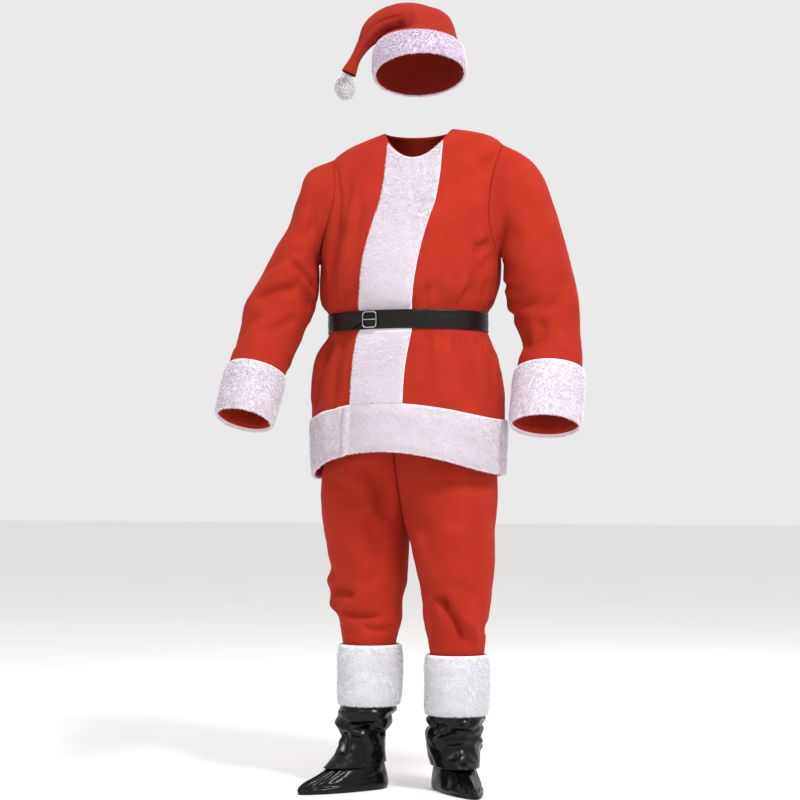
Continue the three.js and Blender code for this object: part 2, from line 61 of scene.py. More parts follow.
# %% A smooth curve through table rows
def along(rows, t):
    """Each column follows a cubic through the rows: its slope at a row is that of the line
    between the row before and the row after. t is an array, values come back on a last axis."""
    rows = np.asarray(rows, float)
    t = np.asarray(t, float)
    last = len(rows) - 1
    k = np.clip(np.searchsorted(rows[:, 0], t, side="right") - 1, 0, last - 1)
    r0, r1 = rows[k], rows[k + 1]
    before, after = rows[np.maximum(k - 1, 0)], rows[np.minimum(k + 2, last)]
    gap = r1[..., :1] - r0[..., :1]
    s = (t[..., None] - r0[..., :1]) / gap
    m0 = (r1 - before) / (r1[..., :1] - before[..., :1]) * gap
    m1 = (after - r0) / (after[..., :1] - r0[..., :1]) * gap
    inside = ((2 * s**3 - 3 * s**2 + 1) * r0 + (s**3 - 2 * s**2 + s) * m0
              + (3 * s**2 - 2 * s**3) * r1 + (s**3 - s**2) * m1)
    return np.where(s < 0, r0 + m0 * s, np.where(s > 1, r1 + m1 * (s - 1), inside))


def ease(v):
    """0 below 0, 1 above 1, and a smooth step between."""
    s = np.clip(v, 0, 1)
    return s * s * (3 - 2 * s)


def unit(v):
    """The vectors on the last axis, each divided by its length."""
    return v / np.maximum(np.linalg.norm(v, axis=-1, keepdims=True), 1e-9)


def turned(angle):
    """Cosine and sine of an angle in degrees."""
    a = np.radians(angle)
    return np.cos(a), np.sin(a)


# %% [markdown]
# ## The jacket's form
# One table gives the jacket body from hem to neck. Every ring is a rounded box, a superellipse,
# deeper in front for the belly, and it may be higher in front than at the sides. The same table
# is what the solids of the frame were made from.

# %% Sections of the jacket body
BODY = [
    # place side  front  back  cx  cy   a  deepF deepB n   turn tilt
    [716, 718, 772, 708, 19, 7, 224, 180, 150, 2.1, -5, 5],
    [800, 800, 842, 794, 19, 7, 227, 178, 152, 2.1, -5, 3],
    [870, 868, 900, 866, 19, 7, 230, 174, 150, 2.1, -5, 1],
    [930, 930, 948, 930, 19, 7, 228, 166, 146, 2.1, -5, 0],
    [990, 990, 998, 990, 19, 7, 216, 154, 138, 2.1, -4, 0],
    [1044, 1044, 1046, 1046, 18, 7, 187, 143, 125, 2.15, -2, 0],
    [1066, 1066, 1068, 1068, 18, 7, 186, 143, 124, 2.15, -2, 0],
    [1088, 1088, 1090, 1090, 18, 7, 187, 143, 125, 2.15, -2, 0],
    [1112, 1112, 1113, 1114, 20, 7, 203, 155, 131, 2.15, -1, 0],
    [1160, 1160, 1156, 1160, 24, 8, 212, 161, 134, 2.2, 0, 0],
    [1240, 1240, 1226, 1240, 28, 9, 212, 156, 134, 2.2, 3, 0],
    [1310, 1310, 1284, 1310, 33, 11, 210, 143, 130, 2.25, 6, 3],
    [1370, 1376, 1330, 1372, 37, 13, 209, 121, 122, 2.3, 9, 7],
    [1415, 1432, 1364, 1418, 39, 14, 206, 103, 112, 2.3, 10, 11],
    [1446, 1465, 1390, 1450, 41, 15, 196, 92, 104, 2.25, 10, 12],
    [1466, 1488, 1410, 1474, 42, 15, 166, 84, 96, 2.2, 10, 11],
    [1482, 1502, 1427, 1492, 42, 15, 126, 76, 86, 2.1, 10, 8],
    [1500, 1514, 1444, 1512, 42, 15, 80, 68, 74, 2, 10, 3],
]
HEM, TOP = 716, 1500
BAND_TOP = HEM + 128
BELT_AT, BELT_HALF = 1066, 22
STRIP_HALF = 63
HOLE_LOW, HOLE_HIGH, HOLE_DEEP = 1214, 1446, 74
RIPPLES = [
    # place, reach, depth, count, phase
    [1125, 34, 3.2, 9, 0.4],
    [985, 60, 4.5, 7, 1.3],
    [1215, 60, 2.5, 5, 2.1],
]


def body(angle, place):
    """A superellipse of half width a and depth front or back, turned about its middle and
    lifted towards the front by the sine squared; a few soft waves are added near the belt."""
    row = along(BODY, place)
    side, front, back, cx, cy, a, deep_f, deep_b, n, turn, tilt = (row[..., k] for k in range(1, 12))
    c, s = turned(angle)
    ripple = sum(d * np.exp(-((place - at) / reach) ** 2) * np.cos(count * np.radians(angle) + phase)
                 for at, reach, d, count, phase in RIPPLES)
    held = ease((np.abs(place - BELT_AT) - BELT_HALF) / 30)
    x = np.sign(c) * np.abs(c) ** (2 / n) * a
    y = np.sign(s) * np.abs(s) ** (2 / n) * np.where(s < 0, deep_f, deep_b)
    out = 1 + ripple * held / np.hypot(x, y)
    tc, ts = turned(turn)
    rise = np.where(s < 0, front, back) - side
    return np.stack([cx + (x * tc - y * ts) * out, cy + (x * ts + y * tc) * out,
                     side + rise * s * s + tilt * c], axis=-1)


def front_angle(across, place):
    """The angle at which the front is that far from its middle, from the superellipse."""
    row = along(BODY, place)
    c = np.sign(across) * np.clip(np.abs(across) / row[..., 6], 0, 1) ** (row[..., 9] / 2)
    return 360 - np.degrees(np.arccos(c))


def hole_angle(place, deep):
    """How far from the side seam the armhole reaches: an upright ellipse seen from the side."""
    half = (HOLE_HIGH - HOLE_LOW) / 2
    s = np.clip((place - HOLE_LOW - half) / half, -1, 1)
    row = along(BODY, place)
    reach = HOLE_DEEP * np.sqrt(1 - s * s)
    return np.degrees(np.arcsin(np.clip(reach / row[..., deep], 0, 1) ** (row[..., 9] / 2)))


print("hem round", round(math.pi * (BODY[0][6] + (BODY[0][7] + BODY[0][8]) / 2)), "mm")


# %% [markdown]
# ## Forms through rings
# Sleeves, boot covers and the hat bend, so their sections are rings in space. Each ring is a
# function of the angle; one smooth curve per angle joins them.

# %% Rings and normals
def through(rings):
    """For each point of the grid, every ring gives a position and a cubic in place joins them,
    with the slope at a ring from its two neighbours."""
    def form(angle, place):
        angle, place = np.broadcast_arrays(np.asarray(angle, float), np.asarray(place, float))
        p = np.stack([ring(angle) for ring in rings])
        last = len(rings) - 1
        k = np.clip(np.floor(place).astype(int), 0, last - 1)
        pick = lambda j: np.take_along_axis(p, np.clip(j, 0, last)[None, ..., None], 0)[0]
        r0, r1, before, after = pick(k), pick(k + 1), pick(k - 1), pick(k + 2)
        s = (place - k)[..., None]
        w0 = np.where(k > 0, 0.5, 1.0)[..., None]
        w1 = np.where(k + 2 <= last, 0.5, 1.0)[..., None]
        m0, m1 = (r1 - before) * w0, (after - r0) * w1
        inside = ((2 * s**3 - 3 * s**2 + 1) * r0 + (s**3 - 2 * s**2 + s) * m0
                  + (3 * s**2 - 2 * s**3) * r1 + (s**3 - s**2) * m1)
        return np.where(s < 0, r0 + m0 * s, np.where(s > 1, r1 + m1 * (s - 1), inside))
    return form


def outward(form, angle, place):
    """Square to the form: the cross product of its slopes along the angle and the place, each
    taken between two points a little apart."""
    turn, step = 0.4, 0.02
    dj = form(angle + turn, place) - form(angle - turn, place)
    di = form(angle, place + step) - form(angle, place - step)
    return unit(np.cross(dj, di))


def hoops(spans, to_front):
    """A ring lies between an inner and an outer point; its depth runs square to that line and
    to the way the sleeve goes. Positions are middle + across cos + ahead sin."""
    inner = np.array([s[0] for s in spans], float)
    outer = np.array([s[1] for s in spans], float)
    middles = (inner + outer) / 2
    rings = []
    for k, (_, _, deep) in enumerate(spans):
        way = middles[min(k + 1, len(spans) - 1)] - middles[max(k - 1, 0)]
        across = outer[k] - middles[k]
        ahead = unit(np.cross(way, across))
        if ahead[1] * to_front > 0:
            ahead = -ahead
        rings.append(lambda angle, m=middles[k], a=across, b=ahead * deep: (
            m + turned(angle)[0][..., None] * a + turned(angle)[1][..., None] * b))
    return rings


def armhole(right):
    """The armhole of the jacket as a ring: 0 at the shoulder tip, 180 under the arm."""
    half = (HOLE_HIGH - HOLE_LOW) / 2

    def ring(angle):
        c, s = turned(angle)
        place = HOLE_LOW + half + half * c
        turn = np.where((s > 0) == right, hole_angle(place, 8), hole_angle(place, 7)) * np.sign(s)
        at = 180 - turn if right else -turn
        return body(at, place) + 0.5 * outward(body, at, place)
    return ring


# %% [markdown]
# ## Making meshes
# A cloth piece is a closed thin shell: an outer grid, an inner grid a cloth's thickness behind
# it, and rims round the edges. The outer grid is the form moved out by the folds.

# %% Mesh helpers
def link_mesh(name, points_mm, faces, material, smooth=True):
    """Vertices go from millimetres above the soles to metres in the frame, in one array."""
    co = ((points_mm - NECK) * MM).astype(np.float32)
    mesh = bpy.data.meshes.new(name)
    mesh.vertices.add(len(co))
    mesh.vertices.foreach_set("co", co.ravel())
    sides = faces.shape[1]
    mesh.loops.add(faces.size)
    mesh.loops.foreach_set("vertex_index", faces.ravel().astype(np.int32))
    mesh.polygons.add(len(faces))
    mesh.polygons.foreach_set("loop_start", np.arange(0, faces.size, sides, dtype=np.int32))
    mesh.update(calc_edges=True)
    mesh.validate()
    mesh.polygons.foreach_set("use_smooth", np.full(len(mesh.polygons), smooth))
    mesh.materials.append(material)
    obj = bpy.data.objects.new(name, mesh)
    bpy.context.scene.collection.objects.link(obj)
    return obj


def shell_faces(rows, cols, around):
    """Quads of the outer grid, of the inner grid the other way round, and of the rims."""
    def at(skin, i, j):
        return skin * rows * cols + i * cols + j % cols
    last = cols if around else cols - 1
    i, j = np.meshgrid(np.arange(rows - 1), np.arange(last), indexing="ij")
    outer = np.stack([at(0, i, j), at(0, i, j + 1), at(0, i + 1, j + 1), at(0, i + 1, j)], -1)
    inner = np.stack([at(1, i, j), at(1, i + 1, j), at(1, i + 1, j + 1), at(1, i, j + 1)], -1)
    k = np.arange(last)
    e = rows - 1
    low = np.stack([at(0, 0, k), at(1, 0, k), at(1, 0, k + 1), at(0, 0, k + 1)], -1)
    high = np.stack([at(0, e, k + 1), at(1, e, k + 1), at(1, e, k), at(0, e, k)], -1)
    parts = [outer.reshape(-1, 4), inner.reshape(-1, 4), low, high]
    if not around:
        m = np.arange(rows - 1)
        parts.append(np.stack([at(0, m, 0), at(0, m + 1, 0), at(1, m + 1, 0), at(1, m, 0)], -1))
        parts.append(np.stack([at(0, m, last), at(1, m, last), at(1, m + 1, last),
                               at(0, m + 1, last)], -1))
    return np.concatenate(parts)


def volume_sign(points, faces):
    """Sum of the signed volumes of the tetrahedra from the first point to each face."""
    p = points - points[0]
    a, b, c, d = (p[faces[:, k]] for k in range(4))
    v = np.einsum("ij,ij->i", a, np.cross(b, c)) + np.einsum("ij,ij->i", a, np.cross(c, d))
    return np.sign(v.sum())


def shell(name, outer, inner, around, material):
    """A closed body from two grids of points; faces are turned if its volume is negative."""
    rows, cols = outer.shape[:2]
    points = np.concatenate([outer.reshape(-1, 3), inner.reshape(-1, 3)])
    faces = shell_faces(rows, cols, around)
    if volume_sign(points, faces) < 0:
        faces = faces[:, ::-1]
    return link_mesh(name, points, faces, material)


def cut_of(skin, around):
    """The flat cloth a grid needs: its longest row, its longest column, and its cells' area."""
    right = np.roll(skin, -1, 1) if around else skin[:, 1:]
    left = skin if around else skin[:, :-1]
    wide = np.linalg.norm(right - left, axis=-1).sum(1).max()
    tall = np.linalg.norm(np.diff(skin, axis=0), axis=-1).sum(0).max()
    cells = np.cross(right[1:] - left[:-1], right[:-1] - left[1:])
    area = np.linalg.norm(cells, axis=-1).sum() / 2
    wide, tall, area = wide * MM, tall * MM, area * MM * MM
    return (wide, tall), min(area, wide * tall)


# %% [markdown]
# ## Folds written one by one
# A fold is a soft trough or ridge along a line drawn on the piece. The line has two ends in the
# piece's own sizes, across and up, a depth and a half width. It fades towards both ends.
# Real folds are uneven, so no two rows of a table are alike.

# %% Folds
def folds(table, x, y, wrap=0):
    """Sum over the rows of depth x bell of the distance to the line x fade at the line's ends.
    A bowed row bends its line sideways by bow x 4 t (1 - t)."""
    total = np.zeros(np.broadcast(x, y).shape)
    for x0, y0, x1, y1, depth, half, bow in table:
        length = math.hypot(x1 - x0, y1 - y0)
        ux, uy = (x1 - x0) / length, (y1 - y0) / length
        dx, dy = x - x0, y - y0
        if np.any(wrap):
            dx = dx - wrap * np.round((x - (x0 + x1) / 2) / wrap)
        t = (dx * ux + dy * uy) / length
        off = -dx * uy + dy * ux - bow * 4 * np.clip(t, 0, 1) * (1 - np.clip(t, 0, 1))
        fade = ease((t + 0.25) / 0.45) * ease((1.25 - t) / 0.45)
        total += depth * np.exp(-(off / half) ** 2) * fade
    return total


SINES = 9


def lumps(p, size, seed):
    """Smooth noise: sums of sines along random directions, of about that size in mm and then
    of half that size and less height."""
    r = np.random.default_rng(seed)
    total = np.zeros(p.shape[:-1])
    for octave in range(2):
        waves = unit(r.normal(size=(SINES, 3))) * 2 * math.pi / (size / 2**octave)
        phase = r.uniform(0, 2 * math.pi, SINES)
        total += np.sin(p @ waves.T + phase).sum(-1) / SINES / 1.6**octave
    return total


UNEVEN = 1.8   # height of the unevenness that fleece has between its folds, mm


# %% [markdown]
# ## Materials
# Brushed fleece is matt with a faint halo of raised fibres, so it gets sheen and a fine nap.
# Plush is bright and scatters light inside the pile. Vinyl is a smooth plastic film over cloth:
# nearly black, with sharp reflections broken by creases.

# %% Colour and node helpers
def linear(hex_colour):
    """An sRGB hex colour as linear red, green, blue and alpha 1."""
    values = [int(hex_colour[k:k + 2], 16) / 255 for k in (1, 3, 5)]
    return [v / 12.92 if v <= 0.04045 else ((v + 0.055) / 1.055) ** 2.4 for v in values] + [1.0]


def add_node(tree, kind, settings=None, inputs=None):
    """Adds a node, sets its properties, and sets or links its inputs."""
    node = tree.nodes.new(kind)
    for key, value in (settings or {}).items():
        setattr(node, key, value)
    for key, value in (inputs or {}).items():
        if isinstance(value, bpy.types.NodeSocket):
            tree.links.new(value, node.inputs[key])
        else:
            node.inputs[key].default_value = value
    return node


def new_material(name):
    """A material with an empty tree but for a Principled shader joined to the output."""
    material = bpy.data.materials.new(name)
    material.use_nodes = True
    tree = material.node_tree
    return material, tree, tree.nodes["Principled BSDF"]


def ramp(tree, fac, stops):
    """A colour ramp from a list of (place, hex colour)."""
    node = add_node(tree, "ShaderNodeValToRGB", inputs={"Fac": fac})
    while len(node.color_ramp.elements) < len(stops):
        node.color_ramp.elements.new(0.5)
    for element, (place, colour) in zip(node.color_ramp.elements, stops):
        element.position = place
        element.color = linear(colour)
    return node.outputs["Color"]


# %% Brushed fleece, white plush
def brushed_fleece(name, dark, base, light):
    """Polyester fleece: broad cloudiness of 60 mm, nap of 2.4 mm drawn coarse enough to show."""
    material, tree, shader = new_material(name)
    where = add_node(tree, "ShaderNodeTexCoord").outputs["Object"]
    cloud = add_node(tree, "ShaderNodeTexNoise", inputs={"Vector": where, "Scale": 1 / 0.06,
                                                         "Detail": 3.0, "Roughness": 0.55})
    nap = add_node(tree, "ShaderNodeTexNoise", inputs={"Vector": where, "Scale": 1 / 0.0024,
                                                       "Detail": 2.0, "Roughness": 0.6})
    mixed = add_node(tree, "ShaderNodeMath", {"operation": "MULTIPLY_ADD"},
                     {0: nap.outputs["Fac"], 1: 0.45, 2: cloud.outputs["Fac"]})
    colour = ramp(tree, mixed.outputs[0], [(0.45, dark), (0.72, base), (1.0, light)])
    bump = add_node(tree, "ShaderNodeBump", inputs={"Strength": 0.35, "Distance": 0.0008,
                                                    "Height": nap.outputs["Fac"]})
    tree.links.new(colour, shader.inputs["Base Color"])
    tree.links.new(bump.outputs["Normal"], shader.inputs["Normal"])
    shader.inputs["Roughness"].default_value = 0.92
    shader.inputs["Specular IOR Level"].default_value = 0.18
    shader.inputs["Sheen Weight"].default_value = 0.1
    shader.inputs["Sheen Roughness"].default_value = 0.55
    shader.inputs["Sheen Tint"].default_value = linear("#f0604a")
    return material


def plush_fibre(name, root, tip):
    """Acrylic pile: painted shade at the root of each fibre, bright at the tip, varied in tufts; tip is an
    attribute.
    """
    material, tree, shader = new_material(name)
    where = add_node(tree, "ShaderNodeTexCoord").outputs["Object"]
    height = add_node(tree, "ShaderNodeAttribute", {"attribute_name": "tip"}).outputs["Fac"]
    tuft = add_node(tree, "ShaderNodeTexNoise", inputs={"Vector": where, "Scale": 1 / 0.014,
                                                        "Detail": 2.0, "Roughness": 0.6})
    mixed = add_node(tree, "ShaderNodeMath", {"operation": "MULTIPLY_ADD"},
                     {0: tuft.outputs["Fac"], 1: 0.5, 2: height})
    # the root colour is painted shade deep in the pile, the tip colour the plush's own white
    colour = ramp(tree, mixed.outputs[0], [(0.15, root), (0.85, tip)])
    tree.links.new(colour, shader.inputs["Base Color"])
    shader.inputs["Roughness"].default_value = 0.9
    shader.inputs["Specular IOR Level"].default_value = 0.2
    shader.inputs["Sheen Weight"].default_value = 0.25
    shader.inputs["Sheen Roughness"].default_value = 0.5
    return material


RED_FLEECE = brushed_fleece("brushed_polyester_fleece_red", "#942212", "#9b2514", "#a12a18")
TROUSER_FLEECE = brushed_fleece("brushed_polyester_fleece_trousers", "#982313", "#9e2515", "#a42919")
HAT_FLEECE = brushed_fleece("brushed_polyester_fleece_hat", "#881f15", "#8e2216", "#94261a")
# The first colour of each plush is painted shade at the roots of its fibres.
PLUSH = plush_fibre("acrylic_plush_white", "#ece4eb", "#f3ecf3")
# The pompom's plush is a brighter copy of the white plush: painted light that lifts the shade in its deep
# pile.
POMPOM_PLUSH_PAINTED_LIGHT = plush_fibre("acrylic_plush_pompom_painted_light", "#f6f0f5", "#fdfafd")
BOOT_PLUSH = plush_fibre("acrylic_plush_boot", "#e5e3e9", "#efeff3")
HAT_PLUSH = plush_fibre("acrylic_plush_hat", "#e6dbe7", "#f5ecf7")


# %% Vinyl, belt and wire
def film(name, base, roughness, crease_size, crease_height, grain, shine):
    """Plastic film on cloth: fine creases a few centimetres apart and a faint moulded grain."""
    material, tree, shader = new_material(name)
    where = add_node(tree, "ShaderNodeTexCoord").outputs["Object"]
    crease = add_node(tree, "ShaderNodeTexNoise", inputs={"Vector": where, "Scale": 1 / crease_size,
                                                          "Detail": 3.0, "Distortion": 0.8})
    fine = add_node(tree, "ShaderNodeTexNoise", inputs={"Vector": where, "Scale": 1 / grain,
                                                        "Detail": 2.0})
    first = add_node(tree, "ShaderNodeBump", inputs={"Strength": 0.6, "Distance": crease_height,
                                                     "Height": crease.outputs["Fac"]})
    second = add_node(tree, "ShaderNodeBump", inputs={"Strength": 0.25, "Distance": 0.0003,
                                                      "Height": fine.outputs["Fac"],
                                                      "Normal": first.outputs["Normal"]})
    rough = add_node(tree, "ShaderNodeMapRange", inputs={"Value": crease.outputs["Fac"],
                                                         "To Min": roughness - 0.06,
                                                         "To Max": roughness + 0.08})
    tree.links.new(rough.outputs["Result"], shader.inputs["Roughness"])
    tree.links.new(second.outputs["Normal"], shader.inputs["Normal"])
    shader.inputs["Specular IOR Level"].default_value = shine
    tint = ramp(tree, fine.outputs["Fac"], [(0.3, base[0]), (0.7, base[1])])
    tree.links.new(tint, shader.inputs["Base Color"])
    return material


BOOT_VINYL = film("pvc_vinyl_black", ("#050505", "#0a0909"), 0.24, 0.05, 0.003, 0.0012, 0.22)
BELT_SHEET = film("pu_imitation_leather", ("#0b0908", "#14110f"), 0.4, 0.012, 0.0012, 0.0009, 0.24)


def bright_wire(name):
    """Nickel-plated steel wire: smooth, with faint drawing marks of about 0.4 mm."""
    material, tree, shader = new_material(name)
    where = add_node(tree, "ShaderNodeTexCoord").outputs["Object"]
    marks = add_node(tree, "ShaderNodeTexNoise", inputs={"Vector": where, "Scale": 1 / 0.0015,
                                                         "Detail": 2.0})
    rough = add_node(tree, "ShaderNodeMapRange", inputs={"Value": marks.outputs["Fac"],
                                                         "To Min": 0.16, "To Max": 0.34})
    tree.links.new(rough.outputs["Result"], shader.inputs["Roughness"])
    shader.inputs["Base Color"].default_value = linear("#a9aaae")
    shader.inputs["Metallic"].default_value = 1.0
    return material


WIRE = bright_wire("nickel_plated_wire")
print("materials:", len(bpy.data.materials))

# %% [markdown]
# ## The jacket body
# Fleece is thick and hangs in broad, shallow folds. Over the belt it blouses in small gathers,
# below it the skirt springs out again. The folds at the armholes run down and inwards.

# %% Folds of the jacket body
# Across is measured round the body from the middle of the front, + to the wearer's left.
JACKET_FOLDS = [
    # x0    y0    x1    y1   depth half bow
    [-172, 1400, -150, 1180, -7.0, 20, 14],
    [-118, 1395, -112, 1250, -4.5, 16, -8],
    [-135, 1330, -95, 1150, 3.5, 24, 10],
    [-90, 1360, -86, 1210, -3.0, 14, 6],
    [-215, 1210, -190, 1115, -6.0, 18, 8],
    [215, 1245, 175, 1225, -7.5, 15, 4],
    [228, 1215, 190, 1120, -4.0, 20, -10],
    [150, 1300, 172, 1180, -2.4, 22, 8],
    [182, 1180, 165, 1105, -3.0, 14, 4],
    [120, 1420, 215, 1440, -2.6, 16, 6],
    [100, 1395, 190, 1410, -2.0, 16, 5],
    [170, 1020, 196, 880, -4.5, 16, 6],
    [128, 1010, 150, 860, 3.0, 26, -8],
    [80, 1030, 92, 940, -2.5, 16, 0],
    [-95, 1025, -104, 850, -4.5, 18, -4],
    [-150, 1020, -182, 880, -5.0, 16, -8],
    [-190, 1010, -225, 900, 4.0, 22, 0],
    [250, 1015, 262, 880, -4.5, 18, 6],
    [330, 1360, 300, 1180, -5.0, 20, 8],
    [-330, 1350, -310, 1170, -5.5, 20, -8],
    [400, 1330, 380, 1190, 3.5, 28, 10],
    [-400, 1300, -420, 1150, -3.5, 22, 8],
    [500, 1380, 505, 1130, -3.5, 26, 12],
    [570, 1390, 560, 1200, -4.0, 22, -12],
    [330, 1025, 350, 870, -5.0, 18, 4],
    [420, 1020, 410, 880, 4.0, 22, 4],
    [480, 1025, 500, 860, -5.0, 18, 0],
    [560, 1020, 566, 890, -4.5, 20, 8],
    [640, 1020, 620, 860, 3.5, 22, 4],
    [-470, 1025, -480, 870, -4.5, 18, -6],
    [-390, 1020, -380, 900, -3.5, 16, 4],
]
GATHERS_ABOVE = [-205, -178, -148, -112, -84, 74, 108, 135, 158, 196, 222, 262, 300, 345, 400, 452,
                 505, 548, 590, -260, -300, -350, -410, -470, -520]
GATHERS = (
    [[x, 1092, x + (7 if k % 3 else -9), 1128 + 11 * (k % 4), -2.2 - 0.5 * (k % 3), 7 + k % 4, 2]
     for k, x in enumerate(GATHERS_ABOVE)]
    + [[x + 9, 1040, x + (14 if k % 2 else 2), 1004 - 12 * (k % 3), -2.0 - 0.4 * (k % 4), 7 + k % 3, 2]
       for k, x in enumerate(GATHERS_ABOVE)]
)


def mean_radius(place):
    """The mean of the half width and of the mean depth."""
    row = along(BODY, place)
    return (row[..., 6] + (row[..., 7] + row[..., 8]) / 2) / 2


def round_body(angle, place):
    """Distance round the body from the middle of the front, as an arc of the mean radius."""
    return np.radians(angle - 270) * mean_radius(place)


SEAM_FADE, SEAM_END = 9, 20   # degrees round the body, mm above and below the armhole


def by_armhole(angle, place):
    """0 at the edge of an armhole and 1 from SEAM_FADE degrees away, so that the sleeve meets
    the jacket all round its seam."""
    front, back = hole_angle(place, 7), hole_angle(place, 8)
    clear = np.where(angle >= 180, np.minimum(angle - 180 - front, 360 - front - angle),
                     np.minimum(angle - back, 180 - back - angle))
    level = (ease((place - HOLE_LOW + SEAM_END) / SEAM_END)
             * ease((HOLE_HIGH + SEAM_END - place) / SEAM_END))
    return 1 - (1 - ease(clear / SEAM_FADE)) * level


DEEPEST, HIGHEST = -16.0, 4.5   # limits of a trough and a ridge, mm


def jacket_relief(angle, place, points):
    """Folds and gathers, held back at the armholes, the hem, the neck and under the belt."""
    x = round_body(angle, place)
    wrap = 2 * math.pi * mean_radius(place)
    height = points[..., 2]
    held = ease((np.abs(place - BELT_AT) - BELT_HALF + 4) / 26)
    ends = ease((TOP - place) / 60 + 0.1) * ease((place - HEM) / 120 + 0.35)
    deep = folds(JACKET_FOLDS, x, height, wrap) * ends + folds(GATHERS, x, height, wrap)
    deep = 2.1 * deep + UNEVEN * lumps(points, 95, 3) * ends
    return np.clip(deep, DEEPEST, HIGHEST) * held * by_armhole(angle, place)


def columns(place, left, right, count):
    """Evenly spaced angles between two edges, which may move with the height."""
    s = np.linspace(0, 1, count)
    return left[:, None] + (right - left)[:, None] * s, np.repeat(place[:, None], count, 1)


GAP = 1.2 * math.degrees(0.15 / 215)   # half a seam's gap of 0.3 mm, as an angle
THICK = 2.2                            # fleece, mm


def jacket_grid(name, place, count):
    """The angle and place of every point of a panel: side seams, armholes and opening line."""
    opening = front_angle(np.full_like(place, -STRIP_HALF), place)
    if name == "front_right":
        return columns(place, 180 + hole_angle(place, 7) + GAP, opening - 0.1, count)
    if name == "front_left":
        return columns(place, opening, 360 - hole_angle(place, 7) - GAP, count)
    edge = hole_angle(place, 8) + GAP
    return columns(place, edge, 180 - edge, count)


def body_rows(low, high, step):
    """Heights for the grid rows, closer together at the ends of the armhole."""
    rows = np.arange(low, high + step / 2, step, dtype=float)
    half = (HOLE_HIGH - HOLE_LOW) / 2
    hole = HOLE_LOW + half - half * np.cos(np.radians(np.linspace(0, 180, 44)))
    keep = rows[(rows < HOLE_LOW - 1) | (rows > HOLE_HIGH + 1)]
    return np.sort(np.concatenate([keep, hole[(hole > low) & (hole < high)], [high]]))


def jacket_skin(name, place, count):
    """The outer face of the cloth of a panel, and its normals, on the panel's grid."""
    angle, where = jacket_grid(name, place, count)
    base = body(angle, where)
    normal = outward(body, angle, where)
    return base + normal * jacket_relief(angle, where, base)[..., None], normal


SIZES = {"front_right": 46, "front_left": 84, "back": 110}   # points across each panel


def declare(obj, cut, nodes):
    """A cloth piece rides the frame and stands for its solids, which are hidden; the cut is not used."""
    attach(obj, "root")
    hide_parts(*nodes)


def fleece_panel(name, skin, normal, around, material, nodes, thick=THICK):
    """A closed shell of cloth from its outer skin, riding the frame in place of its solids."""
    obj = shell(name, skin, skin - normal * thick, around, material)
    declare(obj, cut_of(skin, around), nodes)
    return obj


for part in ("front_right", "front_left", "back"):
    rows = body_rows(HEM + 4, TOP, 8.0)
    skin, normal = jacket_skin(part, rows, SIZES[part])
    fleece_panel(f"jacket_{part}_cloth", skin, normal, False, RED_FLEECE, [f"jacket_{part}"])

# %% [markdown]
# ## Sleeves
# A sleeve is one tube from the armhole to the cuff. It breaks at the elbow, where the folds are
# deepest on the inside of the bend, and hangs in long diagonal folds above it.

# %% Sections and folds of the sleeves
SPAN_RIGHT = [
    # inner point, outer point, half depth
    [[-190, -24, 1208], [-216, -30, 1426], 70],
    [[-190, -28, 1200], [-238, -38, 1372], 74],
    [[-187, -34, 1188], [-258, -46, 1300], 80],
    [[-184, -44, 1166], [-288, -58, 1238], 82],
    [[-183, -56, 1134], [-316, -74, 1172], 80],
    [[-198, -76, 1080], [-347, -92, 1106], 76],
    [[-208, -104, 1030], [-348, -114, 1050], 70],
    [[-214, -130, 988], [-350, -138, 1004], 66],
    [[-226, -150, 952], [-356, -158, 968], 63],
    [[-238, -202, 838], [-362, -210, 850], 62],
]
SPAN_LEFT = [
    [[244, 28, 1212], [284, 42, 1450], 70],
    [[242, 24, 1204], [326, 42, 1408], 75],
    [[242, 24, 1190], [357, 42, 1330], 80],
    [[242, 26, 1166], [378, 44, 1260], 82],
    [[241, 32, 1136], [396, 48, 1190], 80],
    [[248, 44, 1092], [409, 54, 1120], 76],
    [[270, 48, 1046], [413, 54, 1062], 70],
    [[286, 40, 1004], [418, 44, 1016], 65],
    [[276, 26, 958], [424, 28, 966], 64],
    [[278, -26, 826], [430, -26, 832], 66],
]
sleeves = {
    "right": through([armhole(True)] + hoops(SPAN_RIGHT, -1)),
    "left": through([armhole(False)] + hoops(SPAN_LEFT, 1)),
}
